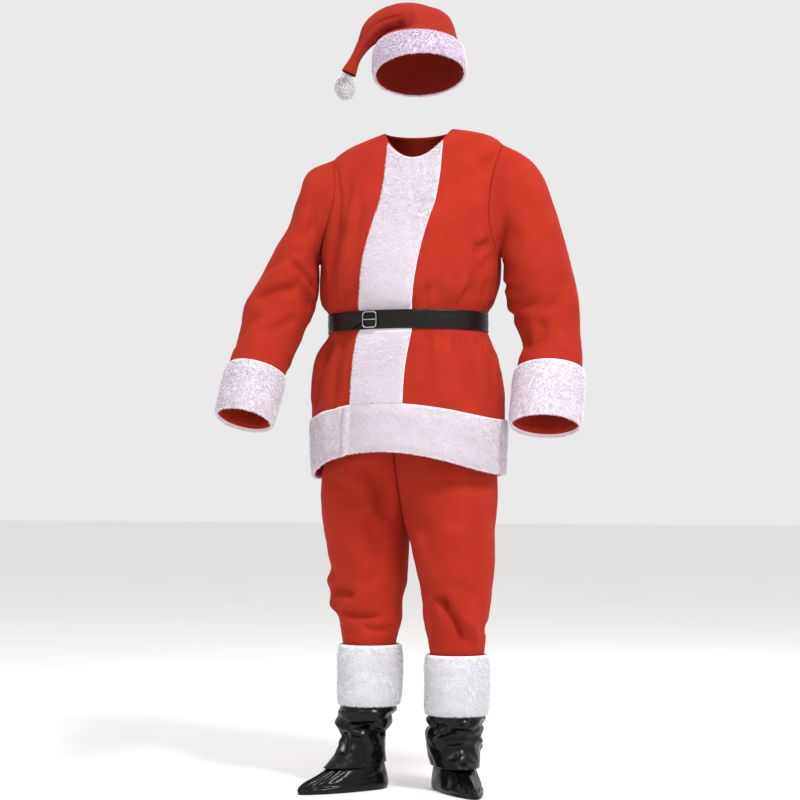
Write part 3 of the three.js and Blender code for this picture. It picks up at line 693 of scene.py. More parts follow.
# Across is degrees x 1.25 mm round the sleeve from its outer side; up is 62 mm for each ring.
SLEEVE_FOLDS = {
    "right": [
        [225, 350, 300, 300, -6.0, 16, 6],
        [240, 300, 340, 262, -5.0, 14, -6],
        [300, 330, 372, 366, -7.0, 14, 0],
        [190, 330, 262, 385, 4.0, 18, 8],
        [330, 210, 400, 300, -5.0, 16, 8],
        [60, 300, 140, 345, -5.0, 16, -6],
        [110, 360, 200, 330, -4.5, 14, 6],
        [330, 70, 352, 200, -5.0, 18, 8],
        [250, 60, 262, 210, -3.5, 20, -6],
        [30, 120, 60, 260, -3.0, 20, 8],
        [150, 120, 160, 260, -4.0, 18, 8],
        [270, 400, 330, 470, -4.0, 14, 6],
        [350, 420, 410, 500, -4.0, 14, -6],
        [90, 430, 130, 520, -4.0, 16, 6],
        [200, 440, 215, 530, -3.0, 14, 4],
    ],
    "left": [
        [225, 280, 150, 330, -5.5, 16, 8],
        [215, 330, 120, 370, -5.0, 15, -6],
        [240, 385, 160, 410, -4.5, 14, 6],
        [170, 60, 130, 200, -3.5, 22, 8],
        [95, 90, 80, 260, -2.6, 24, 8],
        [200, 150, 180, 260, -4.5, 16, -4],
        [40, 330, 90, 390, -4.0, 16, 6],
        [330, 300, 250, 350, -5.0, 16, 6],
        [360, 120, 350, 260, -4.0, 20, 8],
        [290, 120, 300, 250, -3.5, 20, -8],
        [110, 430, 140, 520, -4.5, 14, 6],
        [170, 440, 160, 530, -3.5, 14, -4],
        [60, 450, 40, 530, -3.5, 16, 0],
        [330, 430, 350, 520, -4.0, 18, 6],
        [400, 380, 420, 470, -3.5, 16, 0],
    ],
}
ROUND, RING = 1.25, 62.0
HIGHEST_SLEEVE = 3.5   # how far out a ridge may stand, mm


def sleeve_skin(side, rows, count):
    """The sleeve's form moved out by its folds; they fade in from the armhole seam."""
    angle, place = np.meshgrid(np.linspace(0, 360, count, endpoint=False), rows)
    form = sleeves[side]
    base = form(angle, place)
    normal = outward(form, angle, place)
    deep = folds(SLEEVE_FOLDS[side], angle * ROUND, place * RING, 360 * ROUND)
    near = ease(place / 1.4) * (1 - 0.75 * ease((place - 8.4) / 0.9))
    deep = (2.0 * deep + UNEVEN * lumps(base, 75, 11)) * near
    return base + normal * np.minimum(deep, HIGHEST_SLEEVE)[..., None], normal


for side in ("right", "left"):
    rows = np.linspace(0, 9.95, 104)
    skin, normal = sleeve_skin(side, rows, 84)
    fleece_panel(f"sleeve_{side}_cloth", skin, normal, True, RED_FLEECE, [f"sleeve_{side}"])

# %% [markdown]
# ## Trousers
# Four panels, two to a leg. They drape from the seat, bag a little at the knee and gather where
# they are tucked into the boot covers, so most folds sit just above and behind the knee.

# %% Sections and folds of the trousers
FORK, MIDDLE = 600, 19
LEGS = {
    "right": [
        # height, middle x, y, half width, front, back
        [262, -74, 1, 54, 54, 54],
        [332, -75, 1, 61, 61, 61],
        [391, -73, 2, 74, 70, 70],
        [436, -75, 2, 77, 74, 74],
        [481, -71, 6, 83, 82, 80],
        [527, -79, 8, 92, 90, 88],
        [600, -81, 9, 99, 102, 100],
        [680, -72, 8, 112, 112, 112],
        [760, -56, 7, 128, 122, 122],
        [860, -34, 7, 146, 124, 122],
        [960, -10, 7, 158, 118, 114],
        [1030, 4, 7, 160, 112, 106],
    ],
    "left": [
        [244, 134, 6, 54, 54, 54],
        [312, 138, 0, 61, 61, 61],
        [391, 138, -10, 74, 70, 70],
        [436, 140, -12, 78, 74, 74],
        [481, 137, -12, 83, 82, 80],
        [527, 132, -10, 91, 90, 88],
        [600, 120, -2, 99, 102, 100],
        [680, 111, 4, 112, 112, 112],
        [760, 95, 7, 128, 122, 122],
        [860, 72, 7, 146, 124, 122],
        [960, 48, 7, 158, 118, 114],
        [1030, 34, 7, 160, 112, 106],
    ],
}


def leg_form(rows):
    """An ellipse at every height, deeper or shallower in front than behind."""
    def form(angle, height):
        row = along(rows, height)
        c, s = turned(angle)
        return np.stack([row[..., 1] + row[..., 3] * c,
                         row[..., 2] + np.where(s < 0, row[..., 4], row[..., 5]) * s,
                         row[..., 0] + 0 * c], axis=-1)
    return form


def fork_angle(rows, height):
    """Angle from the outer side at which a leg's ellipse crosses the middle of the body."""
    row = along(rows, height)
    c = np.clip(np.abs(row[..., 1] - MIDDLE) / row[..., 3], 0, 1)
    return np.where(height < FORK, 180.0, 180 - np.degrees(np.arccos(c)))


# Across is degrees x 1.45 mm, as the angle runs: 270 is the front. Up is the height.
AROUND_LEG = 1.45
LEG_FOLDS = {
    "right": [
        [300, 452, 372, 446, -10.0, 11, 4],
        [330, 408, 440, 398, -7.0, 8, -6],
        [262, 470, 300, 486, 9.0, 16, 4],
        [255, 425, 300, 418, 7.0, 16, 0],
        [400, 735, 452, 630, -12.0, 18, 8],
        [372, 760, 420, 690, 4.0, 16, 6],
        [330, 705, 400, 660, -5.0, 16, 6],
        [420, 620, 440, 520, -5.0, 18, 6],
        [350, 560, 360, 500, -2.5, 22, 6],
        [440, 500, 400, 470, -4.0, 14, 4],
        [60, 470, 160, 440, -8.0, 13, 6],
        [80, 420, 190, 410, -7.0, 12, -6],
        [100, 510, 180, 530, -5.0, 14, 8],
        [130, 600, 150, 680, -5.0, 20, 6],
        [300, 372, 360, 360, -4.0, 9, 4],
        [400, 376, 470, 366, -4.0, 9, -4],
        [40, 370, 120, 362, -5.0, 10, 4],
    ],
    "left": [
        [378, 432, 436, 352, -10.0, 11, 6],
        [352, 444, 392, 430, -8.0, 10, 4],
        [440, 400, 478, 348, 6.0, 14, 4],
        [330, 430, 350, 372, -5.0, 14, 6],
        [352, 640, 366, 520, -4.5, 22, 6],
        [300, 690, 340, 600, -5.0, 20, 8],
        [300, 600, 330, 470, -3.5, 22, -6],
        [400, 470, 470, 440, -3.0, 18, 6],
        [420, 690, 440, 560, 3.0, 28, 6],
        [60, 460, 160, 436, -8.0, 13, 6],
        [70, 410, 180, 396, -7.0, 12, -6],
        [90, 510, 190, 520, -5.0, 14, 8],
        [120, 620, 140, 700, -5.0, 20, -6],
        [290, 350, 350, 344, -4.0, 9, 4],
        [10, 372, 90, 360, -5.0, 10, 4],
    ],
}
# Outward swell of the outer side: height of its middle, spread, depth.
KNEE_BAG = {"right": [452, 30, 15], "left": [500, 70, 4]}
THIGH = [650, 90, 7]
LEG_SEAM = 0.14            # half a seam's gap, degrees
TUCK, UNDER = 325, 1000    # where the folds fade: in the boot covers and under the jacket


def swell_at(height, middle, spread, depth):
    """depth x exp(-((height - middle) / spread)^2)."""
    return depth * np.exp(-((height - middle) / spread) ** 2)


def leg_skin(side, front, rows, count):
    """A panel from seam to seam: ellipse form, moved out by folds that fade at both ends."""
    table = LEGS[side]
    seam = np.full_like(rows, LEG_SEAM)
    reach = fork_angle(table, rows) - LEG_SEAM
    if side == "right":
        left, right = (180 + seam, 180 + reach) if front else (180 - reach, 180 - seam)
    else:
        left, right = (360 - reach, 360 - seam) if front else (seam, reach)
    angle, height = columns(rows, left, right, count)
    form = leg_form(table)
    base = form(angle, height)
    normal = outward(form, angle, height)
    deep = folds(LEG_FOLDS[side], angle * AROUND_LEG, height, 360 * AROUND_LEG)
    outer = np.maximum(turned(angle - (180 if side == "right" else 0))[0], 0)
    bag = swell_at(height, *KNEE_BAG[side]) * outer ** 3
    thigh = swell_at(height, *THIGH) * outer ** 2
    ends = ease((height - TUCK) / 40) * ease((UNDER - height) / 120)
    middle = np.abs(base[..., 0] - MIDDLE)
    clear = ease((middle - 1) / 22) + (height < FORK - 40)
    deep = (1.9 * deep + bag + thigh + UNEVEN * lumps(base, 85, 17)) * ends * np.clip(clear, 0, 1)
    return base + normal * deep[..., None], normal


for side in ("right", "left"):
    for end, front in (("front", True), ("back", False)):
        low = LEGS[side][0][0]
        rows = np.concatenate([np.linspace(low, FORK - 4, 58), np.linspace(FORK, 640, 12)[1:],
                               np.linspace(645, 1030, 30)])
        skin, normal = leg_skin(side, front, rows, 58)
        fleece_panel(f"trousers_{side}_{end}_cloth", skin, normal, False, TROUSER_FLEECE,
                     [f"trousers_{side}_{end}"])


WAIST_WIDE, WAIST_DEEP, WAIST_Y = 174, 108, 7   # half sizes and middle, mm
WAIST_LOW, WAIST_TALL = 1030, 34
GATHER_COUNT, GATHER_DEEP = 62, 0.9


def waist(angle, height):
    """A plain ellipse, the ring that the four trouser panels hang from."""
    c, s = turned(angle)
    return np.stack([MIDDLE + WAIST_WIDE * c, WAIST_Y + WAIST_DEEP * s, height + 0 * c], axis=-1)


angle, height = np.meshgrid(np.linspace(0, 360, 400, endpoint=False),
                            np.linspace(WAIST_LOW + 0.4, WAIST_LOW + WAIST_TALL, 8))
ring = waist(angle, height)
normal = outward(waist, angle, height)
# The elastic inside shrinks the casing into small upright gathers.
gather = (GATHER_DEEP * np.sin(np.radians(angle) * GATHER_COUNT)
          * np.sin(np.pi * (height - WAIST_LOW) / WAIST_TALL))
skin = ring + normal * gather[..., None]
fleece_panel("waistband_cloth", skin, normal, True, TROUSER_FLEECE, ["waistband"], thick=3.0)

# %% [markdown]
# ## White plush
# Plush is a knitted backing with fibres 6 or 7 mm long. Seen from a few metres it is a soft
# white surface with faint tufts and a ragged edge. A bump texture gives no ragged edge, so the
# pile is made of thin blades, one triangle each, on a backing that swells a little in the middle
# of the strip. The blades lean with the nap, each a bit differently, and turn their flat side
# out, which keeps the brushed surface even.

# %% Pile
EDGE_BLADES = 3.5   # blades on each millimetre of an edge


def fringe(skin, normal, which, length, r, width):
    """Blades along one edge of a grid: the tip is the root + length x (away from the cloth +
    up to one normal + a shake)."""
    line, inner, up = {"low": (skin[0], skin[1], normal[0]),
                       "high": (skin[-1], skin[-2], normal[-1]),
                       "left": (skin[:, 0], skin[:, 1], normal[:, 0]),
                       "right": (skin[:, -1], skin[:, -2], normal[:, -1])}[which]
    steps = np.linalg.norm(np.diff(line, axis=0), axis=-1)
    count = int(steps.sum() * EDGE_BLADES)
    cell = r.choice(len(steps), count, p=steps / steps.sum())
    u = r.random((count, 1))
    root = line[cell] * (1 - u) + line[cell + 1] * u
    away = unit(line - inner)[cell]
    lean = unit(away + up[cell] * r.uniform(-0.5, 1.0, (count, 1))
                + r.normal(scale=0.35, size=(count, 3)))
    half = unit(np.cross(lean, unit(r.normal(size=(count, 3))))) * (width / 2)
    tall = length * r.uniform(0.5, 1.05, (count, 1))
    back = root - away * 1.0 - up[cell] * r.uniform(0.0, 3.0, (count, 1))
    return np.stack([back - half, back + half, back + lean * tall])


def pile(name, skin, normal, length, count, around, seed, nap=(0.0, 0.0, -0.8), width=1.5,
         material=PLUSH, fringes=()):
    """Blades stand at random places, spread by area, on a grid; a blade's tip is its root +
    length x (normal + nap + a shake), its root a short line across both lean and normal, so
    that brushed blades lie flat side out like shingles."""
    r = np.random.default_rng(seed)
    rows, cols = skin.shape[:2]
    nxt = np.roll(skin, -1, 1) if around else skin[:, 1:]
    nrm = np.roll(normal, -1, 1) if around else normal[:, 1:]
    a, b = (skin, nxt) if around else (skin[:, :-1], nxt)
    na, nb = (normal, nrm) if around else (normal[:, :-1], nrm)
    p00, p10, p01, p11 = a[:-1], a[1:], b[:-1], b[1:]
    n00, n10, n01, n11 = na[:-1], na[1:], nb[:-1], nb[1:]
    area = np.linalg.norm(np.cross(p10 - p00, p01 - p00), axis=-1).ravel()
    cell = r.choice(len(area), count, p=area / area.sum())
    u, v = r.random((2, count, 1))

    def blend(w00, w10, w01, w11):
        w00, w10, w01, w11 = (w.reshape(-1, 3)[cell] for w in (w00, w10, w01, w11))
        return (w00 * (1 - u) + w10 * u) * (1 - v) + (w01 * (1 - u) + w11 * u) * v
    root = blend(p00, p10, p01, p11)
    up = unit(blend(n00, n10, n01, n11))
    tuft = 0.08 * np.stack([lumps(root, 13, seed + k) for k in (1, 2, 3)], -1)
    lean = unit(up + np.asarray(nap) + tuft + r.normal(scale=0.15, size=(count, 3)))
    across = unit(np.cross(lean, up + r.normal(scale=0.2, size=(count, 3))))
    tall = length * r.uniform(0.65, 1.1, (count, 1))
    half = across * (width / 2)
    points = np.concatenate([root - half - up * 0.3, root + half - up * 0.3, root + lean * tall])
    if fringes:
        points = np.concatenate([points.reshape(3, count, 3)] + [
            fringe(skin, normal, which, length, r, width) for which in fringes], axis=1)
        count = points.shape[1]
        points = points.reshape(-1, 3)
    k = np.arange(count)
    obj = link_mesh(name, points, np.stack([k, k + count, k + 2 * count], -1), material, False)
    tip = obj.data.attributes.new("tip", "FLOAT", "POINT")
    tip.data.foreach_set("value", np.repeat([0.0, 0.0, 1.0], count).astype(np.float32))
    return obj


def crown_strip(u, v, around):
    """Full in the middle of the strip and thinner towards its cut edges."""
    edge = np.minimum(u, 1 - u) if around else np.minimum(np.minimum(u, 1 - u), np.minimum(v, 1 - v) * 1.6)
    return 0.45 + 0.55 * ease(edge * 5)


def backing(obj):
    """The knitted backing is nearly as pale as the tip of a fibre."""
    tip = obj.data.attributes.new("tip", "FLOAT", "POINT")
    tip.data.foreach_set("value", np.full(len(obj.data.vertices), 0.85, np.float32))


def plush_piece(name, skin, normal, around, seed, nodes, full, count, length=6.0,
                material=PLUSH, nap=(0, 0, -0.8), fringes=("low",)):
    """Backing and pile of one white piece, both riding the frame in place of its solids."""
    rows, cols = skin.shape[:2]
    u, v = np.meshgrid(np.linspace(0, 1, rows), np.linspace(0, 1, cols), indexing="ij")
    swell = full * crown_strip(u, v, around) + 0.2 * lumps(skin, 30, seed)
    top = skin + normal * (0.4 + swell)[..., None]
    base = shell(name, top, skin + normal * 0.3, around, material)
    backing(base)
    hair = pile(name + "_pile", top, normal, length, count, around, seed, nap, material=material,
                fringes=fringes)
    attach(hair, "root")
    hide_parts(*nodes)
    declare(base, cut_of(skin, around), nodes)
    return base


# %% Hem bands, front strip and cuffs
# Ridges and seams of the bands: across from the middle of the front, height, depth, half width.
BAND_FOLDS = [
    [-60, 706, -58, 880, 5.0, 7, 3],
    [-72, 706, -70, 880, -6.0, 6, 2],
    [-170, 716, -168, 850, -4.0, 4, 0],
    [60, 720, 70, 840, -2.0, 24, 4],
    [150, 716, 146, 846, 2.5, 22, 4],
    [214, 712, 220, 850, -3.0, 18, 4],
    [-120, 716, -116, 850, 2.0, 18, -4],
    [330, 712, 336, 850, 3.0, 24, 4],
    [430, 712, 420, 850, -3.0, 22, 4],
    [520, 712, 530, 850, 3.0, 26, 4],
    [620, 712, 612, 850, -3.0, 22, 4],
]
BAND_BLADES = {"front_right": 24000, "front_left": 38000, "back": 44000}
for k, part in enumerate(("front_right", "front_left", "back")):
    rows = np.linspace(HEM, BAND_TOP, 18)
    skin, normal = jacket_skin(part, rows, SIZES[part])
    angle, place = jacket_grid(part, rows, SIZES[part])
    ridge = folds(BAND_FOLDS, round_body(angle, place), skin[..., 2],
                  2 * math.pi * mean_radius(place))
    skin = skin + normal * (np.clip(ridge, 0, 5) + 0.5 * np.minimum(ridge, 0))[..., None]
    plush_piece(f"hem_band_{part}_plush", skin, normal, False, 40 + k, [f"hem_band_{part}"],
                4.5, BAND_BLADES[part])

# The strip's rows are closer together where the belt presses on it.
PRESSED_LOW, PRESSED_HIGH, ACROSS = BELT_AT - 32, BELT_AT + 32, 26
rows = np.unique(np.concatenate([np.linspace(BAND_TOP + 2, PRESSED_LOW, 26),
                                 np.linspace(PRESSED_LOW, PRESSED_HIGH, 20),
                                 np.linspace(PRESSED_HIGH, TOP - 2, 54)]))
left = front_angle(np.full_like(rows, -STRIP_HALF), rows)
right = front_angle(np.full_like(rows, STRIP_HALF), rows)
angle, place = columns(rows, left, right, ACROSS)
base = body(angle, place)
normal = outward(body, angle, place)
skin = base + normal * jacket_relief(angle, place, base)[..., None]
pressed = ease((np.abs(place - BELT_AT) - BELT_HALF - 1) / 26)
u, v = np.meshgrid(np.linspace(0, 1, len(rows)), np.linspace(0, 1, ACROSS), indexing="ij")
swell = 1.4 + pressed * (4.2 * crown_strip(u, v, False) - 1.0 + 0.3 * lumps(skin, 24, 50))
top = skin + normal * swell[..., None]
strip = shell("front_strip_plush", top, skin + normal * 0.3, False, PLUSH)
backing(strip)
hairs = []
lengths = ((BAND_TOP + 2, BELT_AT - BELT_HALF - 3), (BELT_AT + BELT_HALF + 3, TOP))
for k, (low, high) in enumerate(lengths):
    inside = (rows >= low) & (rows <= high)
    hairs.append(pile(f"front_strip_pile_{k}", top[inside], normal[inside], 6.5, 18000 + 20000 * k,
                      False, 52 + k, nap=(-0.35, 0, -0.7), fringes=("left",)))
for obj in hairs:
    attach(obj, "root")
    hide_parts("front_strip")
declare(strip, cut_of(skin, False), ["front_strip"])

for k, side in enumerate(("right", "left")):
    rows = np.linspace(9.08, 10, 20)
    skin, normal = sleeve_skin(side, rows, 84)
    plush_piece(f"cuff_{side}_plush", skin, normal, True, 60 + k, [f"cuff_{side}"], 4.5, 37000,
                fringes=("high",))

# %% [markdown]
# ## Belt and buckle
# The belt is a thin strap of imitation leather, creased where it was folded in its packet. It is
# pulled through a light wire buckle and its end doubles back beside it.

# %% Belt
BELT_OFF, BELT_LIFT, BELT_THICK = 0.5, 2.6, 2.0   # off the cloth, further over the strip, mm


def belt_off(angle, place):
    """How far the strap stands off the jacket: BELT_OFF, and BELT_LIFT more over the strip."""
    row = along(BODY, place)
    c, s = turned(angle)
    across = row[..., 6] * np.abs(c) ** (2 / row[..., 9])
    return BELT_OFF + np.where(s < 0, BELT_LIFT * ease((STRIP_HALF + 24 - across) / 18), 0.0)


BUCKLE_AT = -33.0
angle, place = np.meshgrid(np.linspace(0, 360, 420, endpoint=False),
                           np.linspace(BELT_AT - BELT_HALF, BELT_AT + BELT_HALF, 10))
base = body(angle, place)
normal = outward(body, angle, place)
across = round_body(angle, place)
BELT_CREASES = [
    [22, 1046, 28, 1088, 0.9, 4, 0],
    [96, 1048, 90, 1086, -0.8, 5, 0],
    [-10, 1082, 40, 1064, 1.1, 5, 2],
    [-6, 1052, 46, 1060, -0.9, 5, 0],
    [140, 1050, 146, 1086, 0.6, 5, 0],
    [-150, 1050, -146, 1086, -0.6, 5, 0],
]
wave = 0.35 * np.sin(np.radians(angle) * 11) + folds(BELT_CREASES, across, place)
crown = 0.5 * (1 - ((place - BELT_AT) / BELT_HALF) ** 2)
out = belt_off(angle, place) + 2.2 + wave + crown
belt = shell("belt_strap", base + normal * out[..., None],
             base + normal * (out - BELT_THICK)[..., None], True, BELT_SHEET)
declare(belt, cut_of(base, True), ["belt"])

# %% The free end, bunched where it leaves the buckle
TAIL_LONG, TAIL_UP = 80, 14   # length past the buckle, mm, and points across
span = np.linspace(BUCKLE_AT - 19 - TAIL_LONG, BUCKLE_AT - 21.5, 60)
high = np.linspace(-1, 1, TAIL_UP)
narrow = 1 - 0.45 * ease((span - (BUCKLE_AT - 50)) / 26)
droop = -1.5 + 5.5 * ease((span - (BUCKLE_AT - 70)) / 50)
place = BELT_AT + droop[None, :] + (BELT_HALF - 1.5) * narrow[None, :] * high[:, None]
angle = front_angle(np.repeat(span[None, :], TAIL_UP, 0), place)
base = body(angle, place)
normal = outward(body, angle, place)
pucker = 1.6 * np.cos(high[:, None] * 7.5) * ease((span - (BUCKLE_AT - 60)) / 30)[None, :]
lift = 6.6 + 2.0 * ease((span - (BUCKLE_AT - 60)) / 30)[None, :] + pucker
tail = shell("belt_free_end", base + normal * (lift + BELT_THICK)[..., None],
             base + normal * lift[..., None], False, BELT_SHEET)
declare(tail, cut_of(base, False), ["belt_tail"])

# %% Wire buckle
low, high = (np.array(c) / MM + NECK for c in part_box("buckle_frame"))
centre = (low + high) / 2
at = front_angle(np.array([BUCKLE_AT]), np.array([BELT_AT]))
out = outward(body, at, np.array([float(BELT_AT)]))[0] * [1, 1, 0]
out = unit(out)
side = np.cross([0, 0, 1], out)


def wire_loop(name, path, radius, closed=True):
    """A round wire along a path: circles square to the path's direction at each point."""
    sides = 12
    step = np.roll(path, -1, 0) - np.roll(path, 1, 0) if closed else np.gradient(path, axis=0)
    way = unit(step)
    first = unit(np.cross(way, out[None, :]))
    second = np.cross(way, first)
    c, s = turned(np.linspace(0, 360, sides, endpoint=False))
    round_it = first[:, None] * c[None, :, None] + second[:, None] * s[None, :, None]
    points = path[:, None] + radius * round_it
    n = len(path)
    i, j = np.meshgrid(np.arange(n if closed else n - 1), np.arange(sides), indexing="ij")
    faces = np.stack([i * sides + j, i * sides + (j + 1) % sides,
                      (i + 1) % n * sides + (j + 1) % sides, (i + 1) % n * sides + j], -1)
    faces, points = faces.reshape(-1, 4), points.reshape(-1, 3)
    if not closed:
        ends = np.stack([path[0], path[-1]])
        cap = np.arange(sides)
        points = np.concatenate([points, ends])
        tip0, tip1 = len(points) - 2, len(points) - 1
        last = (n - 1) * sides
        caps = [np.stack([np.full(sides, tip0), (cap + 1) % sides, cap, cap], -1),
                np.stack([np.full(sides, tip1), last + cap, last + (cap + 1) % sides,
                          last + (cap + 1) % sides], -1)]
        faces = np.concatenate([faces] + caps)
    obj = link_mesh(name, points, faces, WIRE)
    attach(obj, "root")
    return obj


WIRE_RADIUS, PIN_RADIUS = 1.6, 1.2
wide, tall, square = 17.2, 17.4, 5.0   # half sizes of the loop, mm, and its squareness
c, s = turned(np.linspace(0, 360, 96, endpoint=False))
loop = (centre + side * (np.sign(c) * np.abs(c) ** (2 / square) * wide)[:, None]
        + np.array([0, 0, 1.0]) * (np.sign(s) * np.abs(s) ** (2 / square) * tall)[:, None]
        + out * 1.2)
buckle = wire_loop("buckle_wire", loop, WIRE_RADIUS)
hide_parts("buckle_frame")
reach = np.linspace(-16, 17, 24)
bar = centre + side * reach[:, None] + out * (2.6 + 1.5 * np.cos(reach / 17 * 1.5))[:, None]
pin = wire_loop("buckle_pin", bar, PIN_RADIUS, closed=False)
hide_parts("buckle_prong")
print("buckle", *(round(2 * (half + WIRE_RADIUS), 1) for half in (wide, tall)), "mm")

# %% [markdown]
# ## Boot covers
# Thin vinyl over a fabric back, pulled over a shoe. The shaft slouches in deep rings above the
# ankle and its lower edge hangs over the foot like a bell. Sharp ridges catch the light.

# %% Sections and folds of the boot covers
FEET = {"right": (-86, -14, -32), "left": (114, 44, 35)}
LOOSE = {"right": 2.0, "left": 6.0}
FOOT = [
    # ring, height at toe, at heel, toe reach, heel reach, half width, squareness
    [0, 3, 3, 178, 60, 46, 2.1],
    [1, 13, 14, 180, 62, 49, 2.1],
    [2, 27, 34, 160, 60, 48, 2],
    [3, 44, 58, 118, 54, 45, 2],
    [4, 70, 82, 74, 47, 41, 2],
    [5, 100, 104, 44, 42, 37, 2],
]
SHAFT = {
    "right": [
        [122, -88, -8, 53, 50],
        [146, -85, -4, 60, 60],
        [170, -80, -1, 66, 66],
        [196, -76, 0, 65, 65],
        [262, -74, 1, 66, 66],
        [328, -74, 1, 66, 66],
    ],
    "left": [
        [122, 118, 30, 62, 62],
        [146, 124, 25, 68, 67],
        [162, 128, 20, 68, 67],
        [180, 132, 14, 66, 66],
        [244, 137, 6, 66, 66],
        [310, 138, 1, 66, 66],
    ],
}


def foot_form(ax, ay, way):
    """An oval from sole to ankle, longer and pointed towards the toe, turned to the toe's way."""
    wc, ws = turned(way)

    def form(angle, ring):
        row = along(FOOT, ring)
        c, s = turned(angle)
        toe, heel, half, n = row[..., 3], row[..., 4], row[..., 5], row[..., 6]
        point = np.where(c > 0, 1 - 0.3 * c**3 * np.clip(toe / 180, 0, 1), 1.0)
        ahead = np.where(c > 0, toe, heel) * np.sign(c) * np.abs(c) ** (2 / n)
        across = half * np.sign(s) * np.abs(s) ** (2 / n) * point
        return np.stack([ax + ws * ahead + wc * across, ay - wc * ahead + ws * across,
                         row[..., 2] + (row[..., 1] - row[..., 2]) * (c + 1) / 2], axis=-1)
    return form


def shaft_form(rows, way, foot, loose):
    """Three rings lying looser and looser on the foot, then free ellipses up to the top."""
    wc, ws = turned(way)

    def lying(ring, k):
        def at(angle):
            place = np.full(np.shape(angle), float(ring))
            return foot(angle, place) + outward(foot, angle, place) * (1.4 + 2 + loose * (k + 1))
        return at

    def free(z, x, y, deep, wide):
        def at(angle):
            c, s = turned(angle)
            ahead, across = deep * c, wide * s
            return np.stack([x + ws * ahead + wc * across, y - wc * ahead + ws * across, z + 0 * c], -1)
        return at
    return through([lying(r, k) for k, r in enumerate((3.3, 4, 4.7))] + [free(*r) for r in rows])


# Across is degrees x 1.1 mm from the toe's side, + to the wearer's left; up is 28 mm a ring.
ROUND_BOOT, RING_BOOT = 1.1, 28.0
SHAFT_FOLDS = {
    "right": [
        [-20, 150, 84, 158, 7.0, 13, 10],
        [-30, 132, 90, 122, -12.0, 10, -14],
        [-70, 116, 30, 104, 8.0, 12, 8],
        [-90, 98, 0, 88, -9.0, 10, -8],
        [-24, 92, -8, 42, 7.0, 9, 4],
        [6, 90, 22, 44, -8.0, 11, -4],
        [40, 96, 92, 60, 6.0, 10, 8],
        [60, 116, 130, 92, -10.0, 10, -6],
        [110, 140, 190, 118, -10.0, 12, 8],
        [150, 100, 240, 84, -9.0, 11, -8],
        [190, 70, 270, 58, -6.0, 10, 6],
        [250, 140, 320, 124, -9.0, 12, 8],
        [-80, 66, -50, 34, -6.0, 10, 4],
        [260, 104, 316, 96, 6.0, 11, 4],
    ],
    "left": [
        [-62, 126, 58, 118, -11.0, 12, -14],
        [-70, 100, 44, 108, 8.0, 12, 12],
        [-56, 80, 40, 88, -8.0, 11, 10],
        [12, 168, -10, 140, 6.0, 9, 2],
        [34, 170, 16, 142, -7.0, 9, -4],
        [-84, 150, -66, 104, -7.0, 9, 4],
        [56, 142, 96, 100, -8.0, 11, 6],
        [62, 80, 104, 44, 7.0, 10, 4],
        [-24, 66, -34, 24, -4.0, 12, 4],
        [110, 134, 200, 118, -10.0, 12, 8],
        [150, 104, 240, 90, -9.0, 11, -8],
        [160, 74, 240, 62, -6.0, 10, 6],
        [250, 118, 330, 104, -9.0, 12, 6],
    ],
}
FOOT_FOLDS = [
    # along the foot: across as above, up is 20 mm a ring
    [-34, 20, -14, 84, -4.0, 6, 4],
    [-6, 14, 4, 88, 3.0, 6, -2],
    [18, 16, 34, 84, -4.5, 6, -4],
    [46, 20, 60, 80, -3.0, 7, 4],
    [-70, 30, -44, 84, -3.5, 7, 4],
    [90, 40, 150, 50, -3.0, 7, 4],
    [190, 30, 200, 90, -2.5, 8, 4],
    [-8, 12, 60, 30, -3.0, 5, 6],
    [-60, 14, -10, 22, -3.0, 5, -6],
]


FILM_THICK = 1.2   # mm


def vinyl_piece(name, form, rows, count, table, step, nodes, fade, sharp=2.4):
    """A shell of film: soft troughs plus a sharper wrinkling along them."""
    angle, place = np.meshgrid(np.linspace(0, 360, count, endpoint=False), rows)
    base = form(angle, place)
    normal = outward(form, angle, place)
    deep = folds(table, angle * ROUND_BOOT, place * step, 360 * ROUND_BOOT)
    ridged = 1 - 2 * np.abs(lumps(base, 70, 71))
    deep = (deep + sharp * ridged) * fade(place)
    skin = base + normal * deep[..., None]
    obj = shell(name, skin, skin - normal * FILM_THICK, True, BOOT_VINYL)
    declare(obj, cut_of(base, True), nodes)
    return obj


for k, side in enumerate(("right", "left")):
    foot = foot_form(*FEET[side])
    shaft = shaft_form(SHAFT[side], FEET[side][2], foot, LOOSE[side])
    vinyl_piece(f"boot_foot_{side}_film", foot, np.linspace(0, 5, 60), 120, FOOT_FOLDS, 20.0,
                [f"boot_foot_{side}"],
                lambda p: ease((p + 0.2) / 0.8) * (1 - ease((p - 3.0) / 0.5)), 0.9)
    vinyl_piece(f"boot_shaft_{side}_film", shaft, np.linspace(0, 7.95, 96), 116,
                SHAFT_FOLDS[side], RING_BOOT, [f"boot_shaft_{side}"],
                lambda p: ease((p + 0.4) / 1.2) * (1 - ease((p - 5.3) / 0.6)))
    angle, place = np.meshgrid(np.linspace(0, 360, 96, endpoint=False), np.linspace(6, 8.05, 20))
    skin, normal = shaft(angle, place), outward(shaft, angle, place)
    plush_piece(f"boot_fur_{side}_plush", skin, normal, True, 80 + k, [f"boot_fur_{side}"],
                6.0, 28000, length=7.5, material=BOOT_PLUSH)

# %% [markdown]
# ## Hat
# A long cone of fleece on a plush band. It stands for a hand's width, folds over to the wearer's
# right and hangs to a pompom.

